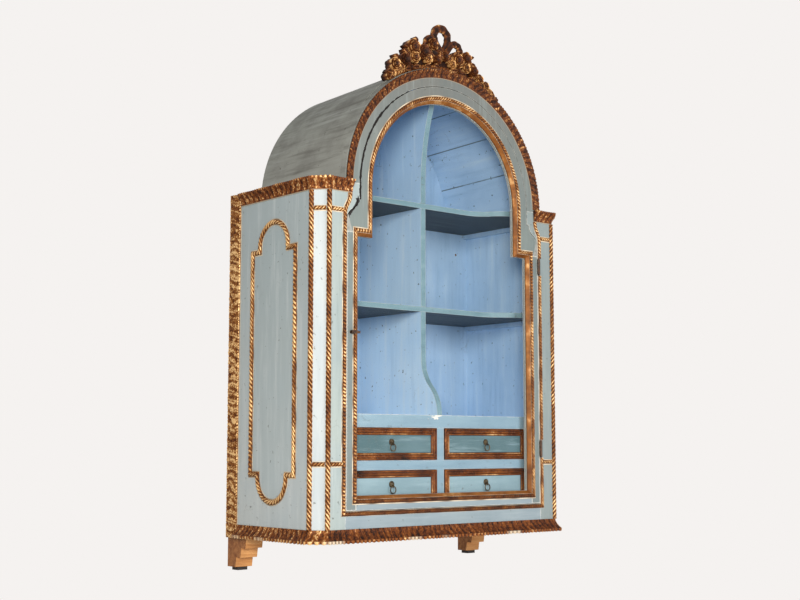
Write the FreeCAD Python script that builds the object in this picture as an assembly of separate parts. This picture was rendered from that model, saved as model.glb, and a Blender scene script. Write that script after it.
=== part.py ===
import FreeCAD, Part
import math
import os

V = FreeCAD.Vector

# Wall cabinet with a barrel roof, a glazed arched door, two shaped shelves and four small drawers.
# Millimetres. The wall is the plane y = 0, the front faces -Y, x = 0 is the middle, +Z is up.
# z = 0 is the top edge of the base moulding.

# Case
body_width = 868.0
body_depth = 382.0
cant = 32.0
side_board = 18.0
skirt_drop = 34.0
back_board = 12.0
back_plank_count = 5
plank_gap = 0.6
spring_height = 868.0
cornice_drop = 28.0
shoulder_board = 14.0
vault_board = 12.0
vault_reveal = 1.0
vault_set_back = 5.5
roof_rise = 10.0
stave_count = 9
fit_gap = 0.3
cut_over = 1.0

# Door and its opening
face_stile_width = 54.8
door_bottom = 44.5
door_thickness = 22.0
door_gap = 1.8
stop_lip = 9.0
stop_gap = 0.4
shoulder_inset = 43.0
shoulder_rail = 27.0
ogee_drop = 99.0
ogee_height = 58.0
ogee_ledge = 8.0
stile_width = 32.0
bottom_rail_height = 27.5
arch_ring_width = 36.5
frame_band = 24.0
reveal_width = 8.5
reveal_depth = 11.0
reveal_nose = 3.0
reveal_edge = 1.5
glass_thickness = 3.0
glass_gap = 0.5
bead_depth = 7.0

# Gilt mouldings and ropes
rope_radius = 5.5
thick_rope_radius = 6.8
rope_set_back = 0.3
cross_rope_foot = 159.0
cross_rope_drop = 46.0
cornice_height = 34.0
cornice_projection = 16.0
cornice_foot = 4.0
cornice_lip = 7.0
cornice_end_set_back = 4.0
base_height = 34.0
base_projection = 21.0
base_top = 4.0
base_lip = 9.0
base_undercut = 2.0
strip_width = 38.0
strip_thickness = 13.0
strip_edge = 5.0
arch_moulding_width = 25.0
arch_moulding_projection = 9.0
arch_moulding_lip = 7.0
arch_moulding_toe = 1.0
panel_half_width = 95.0
panel_lobe_radius = 62.0
panel_back_shift = 4.0
panel_foot = 131.0
panel_drop = 134.0
panel_lobe_straights = (7.5, 11.0)
crest_half_length = 205.5
crest_band = 14.0
crest_depth = 24.0
crest_knot_lift = 42.0
crest_knot_radius = 24.0
crest_loop_rise = 54.0
crest_loop_lean = 6.0
crest_loop_radius = 37.0
crest_ribbon = 21.0
crest_ribbon_depth = 16.0
crest_bow_reach = 44.0
crest_bow_rise = 26.0
crest_bow_radius = 29.0
crest_flower_sides = 8
crest_flower_rise = 9.0
# Share of the flower's radius and of its rise above its disc, from the rim to the heart.
crest_flower_steps = ((1.0, 0.0), (0.68, 0.67), (0.3, 1.0))
# Flowers of the garland, left and right: way along the arch from its top, height above the arch, radius.
crest_left_reaches = (27.0, 60.0, 68.0, 98.0, 104.0, 134.0, 171.0, 203.0)
crest_left_lifts = (17.0, 20.0, 45.0, 62.0, 24.0, 32.0, 29.0, 10.0)
crest_left_radii = (18.0, 20.0, 26.0, 24.0, 22.0, 22.0, 22.0, 13.0)
crest_right_reaches = (25.0, 42.0, 68.0, 72.0, 98.0, 125.0, 151.0, 198.0)
crest_right_lifts = (17.0, 40.0, 58.0, 24.0, 32.0, 20.0, 18.0, 9.0)
crest_right_radii = (18.0, 24.0, 21.0, 22.0, 21.0, 19.0, 16.0, 11.0)

# Shelves and divider
shelf_board = 14.0
lower_shelf_top = 582.0
shelf_set_back = 105.0
upper_wing_length = 135.0
upper_wing_inset = 3.0
lower_wing_length = 142.0
lower_wing_spread = 6.0
lower_wing_set_back = 48.0
divider_board = 17.0
divider_reach = 3.0
divider_foot_set_back = 1.0
divider_foot_height = 155.0
divider_sweep_lift = 52.0
divider_sweep_radius = 640.0
halving_gap = 0.2
cleat_width = 12.0
cleat_height = 13.0

# Drawers
bottom_board = 18.0
drawer_floor = 60.0
drawer_row_height = 82.0
drawer_top_row_height = 84.0
mid_rail_height = 25.0
floor_rail_height = 34.0
drawer_recess = 36.0
drawer_board = 14.0
muntin_width = 27.0
bay_end_inset = 21.4
partition_board = 12.0
drawer_gap = 0.8
drawer_seat_gap = 0.3
box_board = 8.0
box_bottom = 5.0
box_lip = 8.0
drawer_back_gap = 20.0
drawer_moulding_width = 19.0
drawer_moulding_rise = 5.0
drawer_moulding_toe = 1.0
runner_width = 16.0
runner_height = 12.0
rosette_radius = 8.5
rosette_rise = 4.0
rosette_lift = 5.0
rosette_sides = 12
# Share of the rosette's radius and of its rise, from the drawer to the middle.
rosette_steps = ((1.0, 0.0), (1.0, 0.3), (0.6, 0.55), (0.35, 1.0))
lug_width = 3.0
lug_reach = 10.5
lug_height = 7.0
ring_radius = 9.0
ring_wire = 1.5
ring_gap = 0.3
ring_sides = 16

# Hinges and catch
hinge_foot = 151.5
hinge_drop = 31.0
hinge_height = 42.0
knuckle_radius = 4.2
knuckle_reach = 4.5
knuckle_sides = 12
knuckle_gap = 0.3
pin_radius = 2.0
pin_clearance = 0.06
pin_head = 3.0
leaf_thickness = 1.4
leaf_seat = 1.1
leaf_width = 16.0
catch_height = 487.0
catch_inset = 14.0
spindle_radius = 3.0
boss_radius = 5.0
lever_length = 22.0
lever_height = 6.0
lever_thickness = 4.0
tongue_length = 26.0
tongue_width = 9.0
tongue_thickness = 3.0
tongue_gap = 1.0

# Brackets and wall fixing
bracket_width = 52.0
bracket_spread = 4.0
bracket_tiers = (86.0, 63.0, 40.0)
bracket_tier_height = 25.0
bracket_slope = 4.0
pad_size = (30.0, 26.0, 9.0)
screw_hole_radius = 3.5
screw_inset = 44.0
screw_drop = 64.0

# Places worked out from the sizes above
half_width = body_width / 2
front = -body_depth
frame_back = front + cant
inner_half = half_width - side_board
stile_outer = half_width - cant
back_face = -back_board
frame_half = stile_outer - face_stile_width
door_half = frame_half - door_gap
door_back = front + door_thickness
door_arch = door_half - shoulder_inset
sight_half = door_half - stile_width
sight_arch = door_arch - arch_ring_width
sight_bottom = door_bottom + bottom_rail_height
frame_arch = door_arch + door_gap
moulding_inner = door_arch + frame_band
moulding_outer = moulding_inner + arch_moulding_width
head_outer = moulding_outer + vault_reveal
vault_outer = head_outer - vault_set_back
vault_inner = vault_outer - vault_board
roof_length = body_depth - door_thickness
roof_slope = roof_rise / roof_length
shell_height = spring_height - cornice_drop
ogee_bottom = spring_height - ogee_drop
shoulder_sight = ogee_bottom - shoulder_rail
cross_rope_heights = (cross_rope_foot, shell_height - cross_rope_drop)
panel_middle = (strip_width + body_depth - cant) / 2 - panel_back_shift
panel_shoulders = (panel_foot, shell_height - panel_drop)
upper_shelf_bottom = spring_height - shoulder_board
shelf_front = body_depth - shelf_set_back
upper_wing_end = door_arch - upper_wing_inset
upper_wing = (upper_wing_end - upper_wing_length, upper_wing_end)
lower_wing_end = door_half + lower_wing_spread
lower_wing = (lower_wing_end - lower_wing_length, lower_wing_end)
lower_wing_front = body_depth - lower_wing_set_back
halving_end = -(shelf_front + back_board) / 2
drawer_plane = body_depth - drawer_recess
drawer_bay_end = door_half - bay_end_inset
divider_front = shelf_front + divider_reach
divider_foot_front = drawer_plane - divider_foot_set_back
divider_sweep_start = spring_height + divider_sweep_lift
hinge_heights = (door_bottom + hinge_foot, shoulder_sight - hinge_drop)
screw_spacing = 2 * (inner_half - screw_inset)
screw_height = upper_shelf_bottom - screw_drop
rail_bottom = drawer_floor + drawer_row_height
rail_top = rail_bottom + mid_rail_height
floor_rail_bottom = rail_top + drawer_top_row_height
floor_top = floor_rail_bottom + floor_rail_height
drawer_front = -drawer_plane
drawer_rear = drawer_front + drawer_board
opening_rope_x = frame_half + rope_radius + rope_set_back
opening_rope_z = door_bottom - door_gap - rope_radius - rope_set_back
hinge_x = door_half + door_gap / 2
hinge_y = front - knuckle_reach
catch_x = catch_inset - door_half
crest_middle = door_back


def wall_plane(origin, outward):
    """Placement whose local X runs along a wall, local Y is up and local Z points out of the wall."""
    up = V(0, 0, 1)
    rotation = FreeCAD.Rotation(up.cross(outward), up, outward, "ZYX")
    return FreeCAD.Placement(origin, rotation)


front_plane = wall_plane(V(0, front, 0), V(0, -1, 0))
section_plane = FreeCAD.Placement(V(0, 0, 0), FreeCAD.Rotation(V(1, 1, 1), 120))


def placed(shape, plane):
    """Copy of a shape moved from local coordinates to a plane."""
    moved = shape.copy()
    moved.Placement = plane.multiply(moved.Placement)
    return moved


def mirrored(shape):
    """The same shape on the other side of the middle plane."""
    return shape.mirror(V(0, 0, 0), V(1, 0, 0))


def export(name, *solids):
    shape = solids[0] if len(solids) == 1 else Part.makeCompound(list(solids))
    shape.exportStep("parts/" + name + ".step")


def trace(start, *steps):
    """Closed face from a start point and steps: a point is a line, a pair (middle, end) is an arc."""
    here = V(*start, 0)
    edges = []
    for step in steps:
        if isinstance(step[0], tuple):
            middle, end = V(*step[0], 0), V(*step[1], 0)
            edges.append(Part.Arc(here, middle, end).toShape())
        else:
            end = V(*step, 0)
            edges.append(Part.LineSegment(here, end).toShape())
        here = end
    if here.distanceToPoint(V(*start, 0)) > 1e-7:
        edges.append(Part.LineSegment(here, V(*start, 0)).toShape())
    return Part.Face(Part.Wire(edges))


def box(low, high):
    size = V(*high).sub(V(*low))
    return Part.makeBox(size.x, size.y, size.z, V(*low))


def rod(radius, start, end):
    axis = V(*end).sub(V(*start))
    return Part.makeCylinder(radius, axis.Length, V(*start), axis)


def straight_run(profile, start, end, turn_start=0.0, turn_end=0.0):
    """A moulding from start to end. The profile's X is its offset to the left, its Y its height.

    Each end is cut to half the turn, in degrees, that the path makes there.
    """
    a, b = V(*start, 0), V(*end, 0)
    along = b.sub(a)
    length = along.Length
    along.normalize()
    left = V(-along.y, along.x, 0)
    limits = profile.BoundBox
    slope_start = math.tan(math.radians(turn_start) / 2)
    slope_end = math.tan(math.radians(turn_end) / 2)
    spare = max(abs(limits.XMin), abs(limits.XMax)) * max(abs(slope_start), abs(slope_end))
    frame = FreeCAD.Placement(a.sub(along * spare), FreeCAD.Rotation(left, V(0, 0, 1), along, "ZYX"))
    length_of_wood = placed(profile, frame).extrude(along * (length + 2 * spare))
    if not spare:
        return length_of_wood
    margin = cut_over
    corners = []
    for side in (limits.XMin - margin, limits.XMax + margin):
        corners.append(a + left * side + along * (side * slope_start))
        corners.append(a + left * side + along * (length - side * slope_end))
    outline = [corners[0], corners[1], corners[3], corners[2], corners[0]]
    footprint = Part.Face(Part.makePolygon(outline))
    footprint.translate(V(0, 0, limits.YMin - margin))
    room = footprint.extrude(V(0, 0, limits.YMax - limits.YMin + 2 * margin))
    return length_of_wood.common(room).Solids[0]


def arc_run(profile, centre, radius, start_angle, end_angle):
    """A moulding along an arc. It runs anticlockwise where the end angle is the larger one."""
    turn = 1 if end_angle > start_angle else -1
    spoke = V(math.cos(math.radians(start_angle)), math.sin(math.radians(start_angle)), 0)
    middle = V(*centre, 0)
    left = spoke * -turn
    frame = FreeCAD.Placement(
        middle + spoke * radius, FreeCAD.Rotation(left, V(0, 0, 1), left.cross(V(0, 0, 1)), "ZYX")
    )
    return placed(profile, frame).revolve(middle, V(0, 0, 1), end_angle - start_angle)


def polyline_runs(profile, points, closed=False):
    """Mitred moulding lengths along a line of points."""
    count = len(points)
    last = count if closed else count - 1

    def heading(index):
        a, b = points[index % count], points[(index + 1) % count]
        return math.degrees(math.atan2(b[1] - a[1], b[0] - a[0]))

    def turn(index):
        return (heading(index) - heading(index - 1) + 180) % 360 - 180

    runs = []
    for index in range(last):
        first = turn(index) if closed or index > 0 else 0.0
        second = turn(index + 1) if closed or index < last - 1 else 0.0
        runs.append(straight_run(profile, points[index], points[(index + 1) % count], first, second))
    return runs


def ogee(start, end):
    """Middles and ends of the two arcs of an S curve that leaves and arrives vertically."""
    across, rise = end[0] - start[0], end[1] - start[1]
    radius = (across**2 + rise**2) / (4 * abs(across))
    sweep = math.asin(abs(rise) / 2 / radius)
    side = math.copysign(radius * (1 - math.cos(sweep / 2)), across)
    lift = math.copysign(radius * math.sin(sweep / 2), rise)
    centre = ((start[0] + end[0]) / 2, (start[1] + end[1]) / 2)
    return ((start[0] + side, start[1] + lift), centre), ((end[0] - side, end[1] - lift), end)


def ring_points(centre, radius, sides, first=0.0):
    """Corners of a regular polygon."""
    turns = [math.radians(first + 360.0 * index / sides) for index in range(sides)]
    return [(centre[0] + radius * math.cos(turn), centre[1] + radius * math.sin(turn)) for turn in turns]


def stacked(rings):
    """Solid between rings of points that lie one above the other."""
    outlines = [rings[0], rings[-1]]
    for low, high in zip(rings, rings[1:]):
        for index in range(len(low)):
            last = index - 1
            outlines.append([low[last], low[index], high[index], high[last]])
    faces = [Part.Face(Part.makePolygon(outline + outline[:1])) for outline in outlines]
    solid = Part.makeSolid(Part.makeShell(faces))
    if solid.Volume < 0:
        solid.reverse()
    return solid


def bar(radius, start, end, sides):
    """Upright or level bar with flat sides, from one point to another."""
    axis = V(*end).sub(V(*start))
    frame = FreeCAD.Placement(V(*start), FreeCAD.Rotation(V(0, 0, 1), axis))
    return placed(trace(*ring_points((0, 0), radius, sides)).extrude(V(0, 0, axis.Length)), frame)


def bead_profile(offset=0.0, radius=rope_radius):
    """Half of an eight-sided bar whose flat lies on the surface: the blank of a carved rope."""
    return trace(*ring_points((offset, 0), radius, 8)[:5])


def sight_path(inset=0.0):
    """Corners of the door's glazed opening, from the bottom left to the right spring and back round."""
    x, low, shoulder = sight_half - inset, sight_bottom + inset, shoulder_sight - inset
    arch = sight_arch - inset
    return [
        (-arch, spring_height), (-arch, shoulder), (-x, shoulder), (-x, low),
        (x, low), (x, shoulder), (arch, shoulder), (arch, spring_height),
    ]


def sight_runs(profile):
    """One moulding all round the glazed opening: mitred lengths and the arch."""
    runs = polyline_runs(profile, sight_path())
    runs.append(arc_run(profile, (0, spring_height), sight_arch, 0, 180))
    return [placed(run, front_plane) for run in runs]


def door_edge(gap):
    """Points of the door's right edge above the plain stile, moved outwards by a gap."""
    low = (door_half + gap, ogee_bottom + gap)
    ledge_x = door_arch + ogee_ledge + gap
    top = ogee_bottom + ogee_height + gap
    return low, (ledge_x, top), (door_arch + gap, top)


def slab(face, depth_from, depth_to):
    """Face drawn on the front plane, made solid between two depths behind that plane."""
    solid = face.copy()
    solid.translate(V(0, 0, -depth_from))
    return placed(solid.extrude(V(0, 0, depth_from - depth_to)), front_plane)


def carcase_outline():
    """Plan of the case: square at the wall, canted at the front."""
    x, corner = half_width, stile_outer
    return [(-x, 0), (-x, frame_back), (-corner, front), (corner, front), (x, frame_back), (x, 0)]


def side_panel():
    """Left side board."""
    return box((-half_width, frame_back, -skirt_drop), (-inner_half, 0, upper_shelf_bottom))


def corner_post():
    """Three-sided post that closes the left canted corner."""
    face = trace((-half_width, frame_back), (-stile_outer, front), (-stile_outer, frame_back))
    face.translate(V(0, 0, -skirt_drop))
    return face.extrude(V(0, 0, spring_height + skirt_drop))


def hinge_seat(x_low, x_high):
    """Cutters for the two hinge leaves in the edge of the door or of the frame."""
    cuts = []
    for height in hinge_heights:
        low, high = height - hinge_height / 2, height + hinge_height / 2
        cuts.append(box((x_low, front - cut_over, low), (x_high, front + leaf_width, high)))
    return cuts


def face_stile(seats):
    """Right face stile: S-shaped shoulder towards the arch, with the lip that stops the door."""
    low, ledge, neck = door_edge(door_gap)
    first, second = ogee(ledge, low)
    face = trace(
        (stile_outer, -skirt_drop), (stile_outer, spring_height), (neck[0], spring_height), neck, ledge,
        first, second, (frame_half, -skirt_drop),
    )
    lip_low = door_bottom + stop_lip
    lip = box((frame_half - stop_lip, door_back + stop_gap, lip_low), (frame_half, frame_back, ogee_bottom))
    return slab(face, 0, cant).fuse(lip).removeSplitter().cut(seats)


def face_bottom_rail():
    plate = box((-frame_half, front, -skirt_drop), (frame_half, frame_back, door_bottom - door_gap))
    lip = box(
        (-frame_half, door_back + stop_gap, -skirt_drop), (frame_half, frame_back, door_bottom + stop_lip)
    )
    return plate.fuse(lip).removeSplitter()


def arch_face(inner, outer):
    """Half ring above the spring line."""
    z = spring_height
    return trace(
        (inner, z), (outer, z), ((0, z + outer), (-outer, z)), (-inner, z), ((0, z + inner), (inner, z))
    )


def tilted(shape):
    """Shape raised at the front like the roof, turned about the line where the roof springs at the wall."""
    turned = shape.copy()
    turned.rotate(V(0, 0, spring_height), V(1, 0, 0), -math.degrees(math.atan(roof_slope)))
    return turned


def roof_room():
    """Space between the back of the face frame's head and the wall, above the shoulders."""
    reach = 2 * vault_outer
    return box((-reach, -roof_length, spring_height), (reach, 0, spring_height + reach))


def staves():
    """Barrel roof boards, side by side from the face frame's head to the wall, a little higher in front."""
    step = 180.0 / stave_count
    below = math.degrees(2 * roof_rise / vault_inner)
    bounds = [step * index for index in range(stave_count + 1)]
    bounds[0] -= below
    bounds[-1] += below
    boards = []
    for start, end in zip(bounds, bounds[1:]):
        middle = (start + end) / 2
        face = trace(
            polar(vault_inner, start), polar(vault_outer, start),
            (polar(vault_outer, middle), polar(vault_outer, end)),
            polar(vault_inner, end), (polar(vault_inner, middle), polar(vault_inner, start)),
        )
        board = tilted(slab(face, 0, body_depth + door_thickness))
        boards.append(board.common(roof_room()).Solids[0])
    return boards


def back_planks():
    """Upright back boards: square below, arched inside the roof, with the two wall screw holes."""
    arch = vault_inner - fit_gap
    outline = trace(
        (-inner_half, -skirt_drop), (inner_half, -skirt_drop), (inner_half, upper_shelf_bottom),
        (arch, upper_shelf_bottom), (arch, spring_height),
        ((0, spring_height + arch), (-arch, spring_height)),
        (-arch, upper_shelf_bottom), (-inner_half, upper_shelf_bottom),
    )
    sheet = slab(outline, body_depth - back_board, body_depth)
    for side in (-1, 1):
        x = side * screw_spacing / 2
        hole = rod(screw_hole_radius, (x, -2 * back_board, screw_height), (x, back_board, screw_height))
        sheet = sheet.cut(hole)
    pitch = 2 * inner_half / back_plank_count
    top = spring_height + vault_outer
    planks = []
    for index in range(back_plank_count):
        low = -inner_half + index * pitch + (plank_gap / 2 if index else 0)
        high = -inner_half + (index + 1) * pitch - (plank_gap / 2 if index < back_plank_count - 1 else 0)
        strip = box((low, -2 * back_board, -skirt_drop), (high, back_board, top))
        planks.append(sheet.common(strip).Solids[0])
    return planks


def wing_front(wing, wing_front_y):
    """Right half of a shelf's front edge: straight, then an S curve out to the wing."""
    # The S curve leaves and arrives along the shelf, so the two coordinates change places.
    first, second = ogee((-shelf_front, wing[0]), (wing_front_y, wing[1]))
    flip = [tuple((b, a) for a, b in pair) for pair in (first, second)]
    return flip


def shelf_face(wing, wing_front_y, ends):
    """Plan of a shelf with its shaped front edge, closed by the corner points of its right end."""
    right = wing_front(wing, wing_front_y)
    start = (wing[0], -shelf_front)
    left = [
        ((-right[1][0][0], right[1][0][1]), (-right[0][1][0], right[0][1][1])),
        ((-right[0][0][0], right[0][0][1]), (-start[0], start[1])),
    ]
    far = [(-x, y) for x, y in reversed(ends)]
    return trace((-start[0], start[1]), start, *right, *ends, *far, (-right[1][1][0], right[1][1][1]), *left)


def halving(low, high, y_from, y_to):
    """Slot for the divider in a shelf, or for a shelf in the divider."""
    x = divider_board / 2 + halving_gap
    return box((-x, y_from, low), (x, y_to, high))


def upper_shelf():
    """Shelf at the spring of the roof. Its ends run out over the sides as the tops of the shoulders."""
    notch = vault_inner
    ends = [
        (half_width, frame_back), (half_width, 0), (notch, 0), (notch, back_face),
    ]
    face = shelf_face(upper_wing, frame_back, ends)
    face.translate(V(0, 0, upper_shelf_bottom))
    board = face.extrude(V(0, 0, shoulder_board))
    return board.cut(halving(upper_shelf_bottom, spring_height, halving_end, back_face))


def lower_shelf():
    ends = [(inner_half, -lower_wing_front), (inner_half, back_face)]
    face = shelf_face(lower_wing, -lower_wing_front, ends)
    face.translate(V(0, 0, lower_shelf_top - shelf_board))
    board = face.extrude(V(0, 0, shelf_board))
    return board.cut(halving(lower_shelf_top - shelf_board, lower_shelf_top, halving_end, back_face))


def divider():
    """Upright between the bays: an S-shaped foot, a plain middle and a sweep forward under the roof."""
    top = spring_height + math.sqrt(vault_inner**2 - (divider_board / 2) ** 2) - fit_gap

    def sweep(height):
        return -divider_front - divider_sweep_radius + math.sqrt(divider_sweep_radius**2 - height**2)

    tip = top - roof_slope * sweep(top - divider_sweep_start)
    rise = tip - divider_sweep_start
    knee = (-divider_front, floor_top + divider_foot_height)
    first, second = ogee(knee, (-divider_foot_front, floor_top))
    face = trace(
        (back_face, floor_top), (back_face, top - roof_slope * back_face), (sweep(rise), tip),
        ((sweep(rise / 2), divider_sweep_start + rise / 2), (-divider_front, divider_sweep_start)),
        knee, first, second,
    )
    face.translate(V(0, 0, -divider_board / 2))
    plate = placed(face.extrude(V(0, 0, divider_board)), section_plane)
    for top_face, board in ((spring_height, shoulder_board), (lower_shelf_top, shelf_board)):
        slot = halving(top_face - board, top_face, front, halving_end)
        plate = plate.cut(slot)
    return plate


def shelf_cleats():
    """Strips on the side walls under both shelves and the display floor."""
    cleats = []
    for under in (upper_shelf_bottom, lower_shelf_top - shelf_board, floor_top - shelf_board):
        low = (-inner_half, -shelf_front, under - cleat_height)
        cleat = box(low, (-inner_half + cleat_width, back_face, under))
        cleats += [cleat, mirrored(cleat)]
    return cleats


def drawer_face_frame():
    """Rails, muntins and end stiles round the four drawers."""
    low, high = drawer_front, drawer_rear
    floor_rail = box((-inner_half, low, floor_rail_bottom), (inner_half, high, floor_top))
    mid_rail = box((-drawer_bay_end, low, rail_bottom), (drawer_bay_end, high, rail_top))
    x = muntin_width / 2
    lower = box((-x, low, drawer_floor), (x, high, rail_bottom))
    upper = box((-x, low, rail_top), (x, high, floor_rail_bottom))
    end = box((drawer_bay_end, low, drawer_floor), (inner_half, high, floor_rail_bottom))
    return [floor_rail, mid_rail, lower, upper, end, mirrored(end)]


def drawer_partitions():
    x = partition_board / 2
    top = floor_top - shelf_board
    middle = box((-x, drawer_rear, drawer_floor), (x, back_face, top))
    low = (drawer_bay_end, drawer_rear, drawer_floor)
    end = box(low, (drawer_bay_end + partition_board, back_face, top))
    return [middle, end, mirrored(end)]


def drawer_runners():
    """Strips that carry the upper drawers."""
    runners = []
    for x in (partition_board / 2, drawer_bay_end - runner_width):
        runner = box((x, drawer_rear, rail_top - runner_height), (x + runner_width, back_face, rail_top))
        runners += [runner, mirrored(runner)]
    return runners


def cornice_profile():
    """Section of the cornice: a small bead, a hollow and a square top. X is minus the projection."""
    p, h = cornice_projection, cornice_height
    foot, lip = cornice_foot, cornice_lip
    hollow = (-(foot + (p - foot) * 0.3), h * 0.5)
    return trace((0, 0), (0, h), (-p, h), (-p, h - lip), (hollow, (-foot, foot)), (-foot, 0))


def base_profile():
    """Section of the base moulding: thin at the top, flaring out to a leaf edge at the foot."""
    p, h = base_projection, base_height
    top, lip = base_top, base_lip
    hollow = (-(top + (p - top) * 0.28), -h * 0.42)
    return trace((0, 0), (-top, 0), (hollow, (-p + base_undercut, -h + lip)), (-p, -h + lip), (-p, -h), (0, -h))


def arch_profile():
    """Section of the arch moulding. X runs from its inner edge outwards as minus X."""
    w, p = arch_moulding_width, arch_moulding_projection
    lip, toe = arch_moulding_lip, arch_moulding_toe
    return trace((0, 0), (-w, 0), (-w, p), (-w + lip, p), (-w * 0.45, p * 0.45), (0, toe))


def cornice():
    """Mitred cornice lengths on both shoulders: side, cant and front."""
    points = [
        (-half_width, -strip_width), (-half_width, frame_back),
        (-stile_outer, front), (-moulding_inner - cornice_end_set_back, front),
    ]
    runs = polyline_runs(cornice_profile(), points)
    for run in runs:
        run.translate(V(0, 0, shell_height))
    return runs + [mirrored(run) for run in runs]


def arch_moulding():
    """Carved moulding round the arch, standing on the two front cornices."""
    ring = placed(arc_run(arch_profile(), (0, spring_height), moulding_inner, 0, 180), front_plane)
    top = shell_height + cornice_height
    reach = moulding_outer + arch_moulding_projection
    room = box((-reach, front - reach, top), (reach, front + reach, spring_height + reach))
    return ring.common(room).Solids[0]


def base_moulding():
    outline = carcase_outline()
    points = [(-half_width, -strip_width)] + outline[1:5] + [(half_width, -strip_width)]
    return polyline_runs(base_profile(), points)


def back_strip():
    """Carved upright strip on the left side's back edge, from the base to the cornice's top."""
    w, t, edge = strip_width, strip_thickness, strip_edge
    x = -half_width
    face = trace(
        (x, 0), (x, -w), (x - edge, -w), ((x - (edge + 3 * t) / 4, -w / 2), (x - t, 0)),
    )
    face.translate(V(0, 0, -base_height))
    return face.extrude(V(0, 0, base_height + shell_height + cornice_height))


def corner_ropes():
    """Ropes on both arrises of the left canted corner, and the short ropes across the cant and the stile."""
    core = trace(*carcase_outline())
    core = core.extrude(V(0, 0, shell_height))
    ropes = []
    for x, y in ((-half_width, frame_back), (-stile_outer, front)):
        ropes.append(rod(thick_rope_radius, (x, y, 0), (x, y, shell_height)).cut(core))
    cant_plane = wall_plane(V(-half_width, frame_back, 0), V(-1, -1, 0).normalize())
    start = thick_rope_radius + rope_set_back
    for height in cross_rope_heights:
        across = straight_run(bead_profile(), (start, height), (cant * math.sqrt(2) - start, height))
        ropes.append(placed(across, cant_plane))
        end = -opening_rope_x - rope_radius - rope_set_back
        if height > shell_height - ogee_height:
            end += rope_set_back
        across = straight_run(bead_profile(), (-stile_outer + start, height), (end, height))
        ropes.append(placed(across, front_plane))
    return ropes + [mirrored(rope) for rope in ropes]


def side_panel_rope():
    """Rope frame on the left side: plain sides, stepped shoulders, a round lobe at the top and the bottom."""
    w, r = panel_half_width, panel_lobe_radius
    low, high = panel_shoulders
    foot, head = low - panel_lobe_straights[0], high + panel_lobe_straights[1]
    right = [(r, foot), (r, low), (w, low), (w, high), (r, high), (r, head)]
    left = [(-x, z) for x, z in reversed(right)]
    profile = bead_profile(0.0, thick_rope_radius)
    runs = polyline_runs(profile, right) + polyline_runs(profile, left)
    runs.append(arc_run(profile, (0, head), r, 0, 180))
    runs.append(arc_run(profile, (0, foot), r, 180, 360))
    plane = wall_plane(V(-half_width, -panel_middle, 0), V(-1, 0, 0))
    return [placed(run, plane) for run in runs]


def opening_rope():
    """Rope round the door's opening: up both stiles, along the rail, with an S curve to the cornice."""
    profile = bead_profile()
    x, low = opening_rope_x, opening_rope_z
    top_x = moulding_inner + cornice_end_set_back + rope_radius
    turn_z = shell_height - ogee_height
    runs = polyline_runs(profile, [(-x, turn_z), (-x, low), (x, low), (x, turn_z)])
    across, rise = x - top_x, ogee_height
    radius = (across**2 + rise**2) / (4 * across)
    sweep = math.degrees(math.asin(rise / 2 / radius))
    lower = arc_run(profile, (x - radius, turn_z), radius, 0, sweep)
    upper = arc_run(profile, (top_x + radius, shell_height), radius, 180 + sweep, 180)
    curve = placed(lower, front_plane).fuse(placed(upper, front_plane))
    ropes = [placed(run, front_plane) for run in runs] + [curve, mirrored(curve)]
    notches = []
    for height in hinge_heights:
        low_z = height - hinge_height / 2 - pin_head - cut_over
        high_z = height + hinge_height / 2 + pin_head + cut_over
        notches.append(box((0, front - 2 * rope_radius, low_z), (half_width, front, high_z)))
    lengths = []
    for rope in ropes:
        lengths += rope.cut(notches).Solids
    return lengths


def teardrop(centre, radius, apex):
    """Face of a loop's outline: a round end and two tangents that meet at the apex."""
    reach = math.hypot(apex[0] - centre[0], apex[1] - centre[1])
    toward = math.atan2(apex[1] - centre[1], apex[0] - centre[0])
    spread = math.acos(radius / reach)

    def at(turn):
        return centre[0] + radius * math.cos(turn), centre[1] + radius * math.sin(turn)

    return trace(apex, at(toward + spread), (at(toward + math.pi), at(toward - spread)))


def ribbon_loop(centre, radius, apex):
    """Loop of flat ribbon, open in the middle."""
    inner = radius - crest_ribbon
    share = inner / radius
    inner_apex = tuple(c + (a - c) * share for a, c in zip(apex, centre))
    depth = crest_middle - front - crest_ribbon_depth / 2
    outer_loop = slab(teardrop(centre, radius, apex), depth, depth + crest_ribbon_depth)
    return outer_loop.cut(slab(teardrop(centre, inner, inner_apex), depth, depth + crest_ribbon_depth))


def flower(centre, radius):
    """Flower: a many-sided disc with a stepped, domed front."""
    face = crest_middle - crest_depth / 2
    depth = face - front
    disc = slab(trace(*ring_points(centre, radius, crest_flower_sides)), depth, depth + crest_depth)
    rings = []
    for share, lift in crest_flower_steps:
        corners = ring_points(centre, radius * share, crest_flower_sides)
        rings.append([V(x, face - lift * crest_flower_rise, z) for x, z in corners])
    dome = stacked(rings)
    return disc.fuse(dome)


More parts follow.
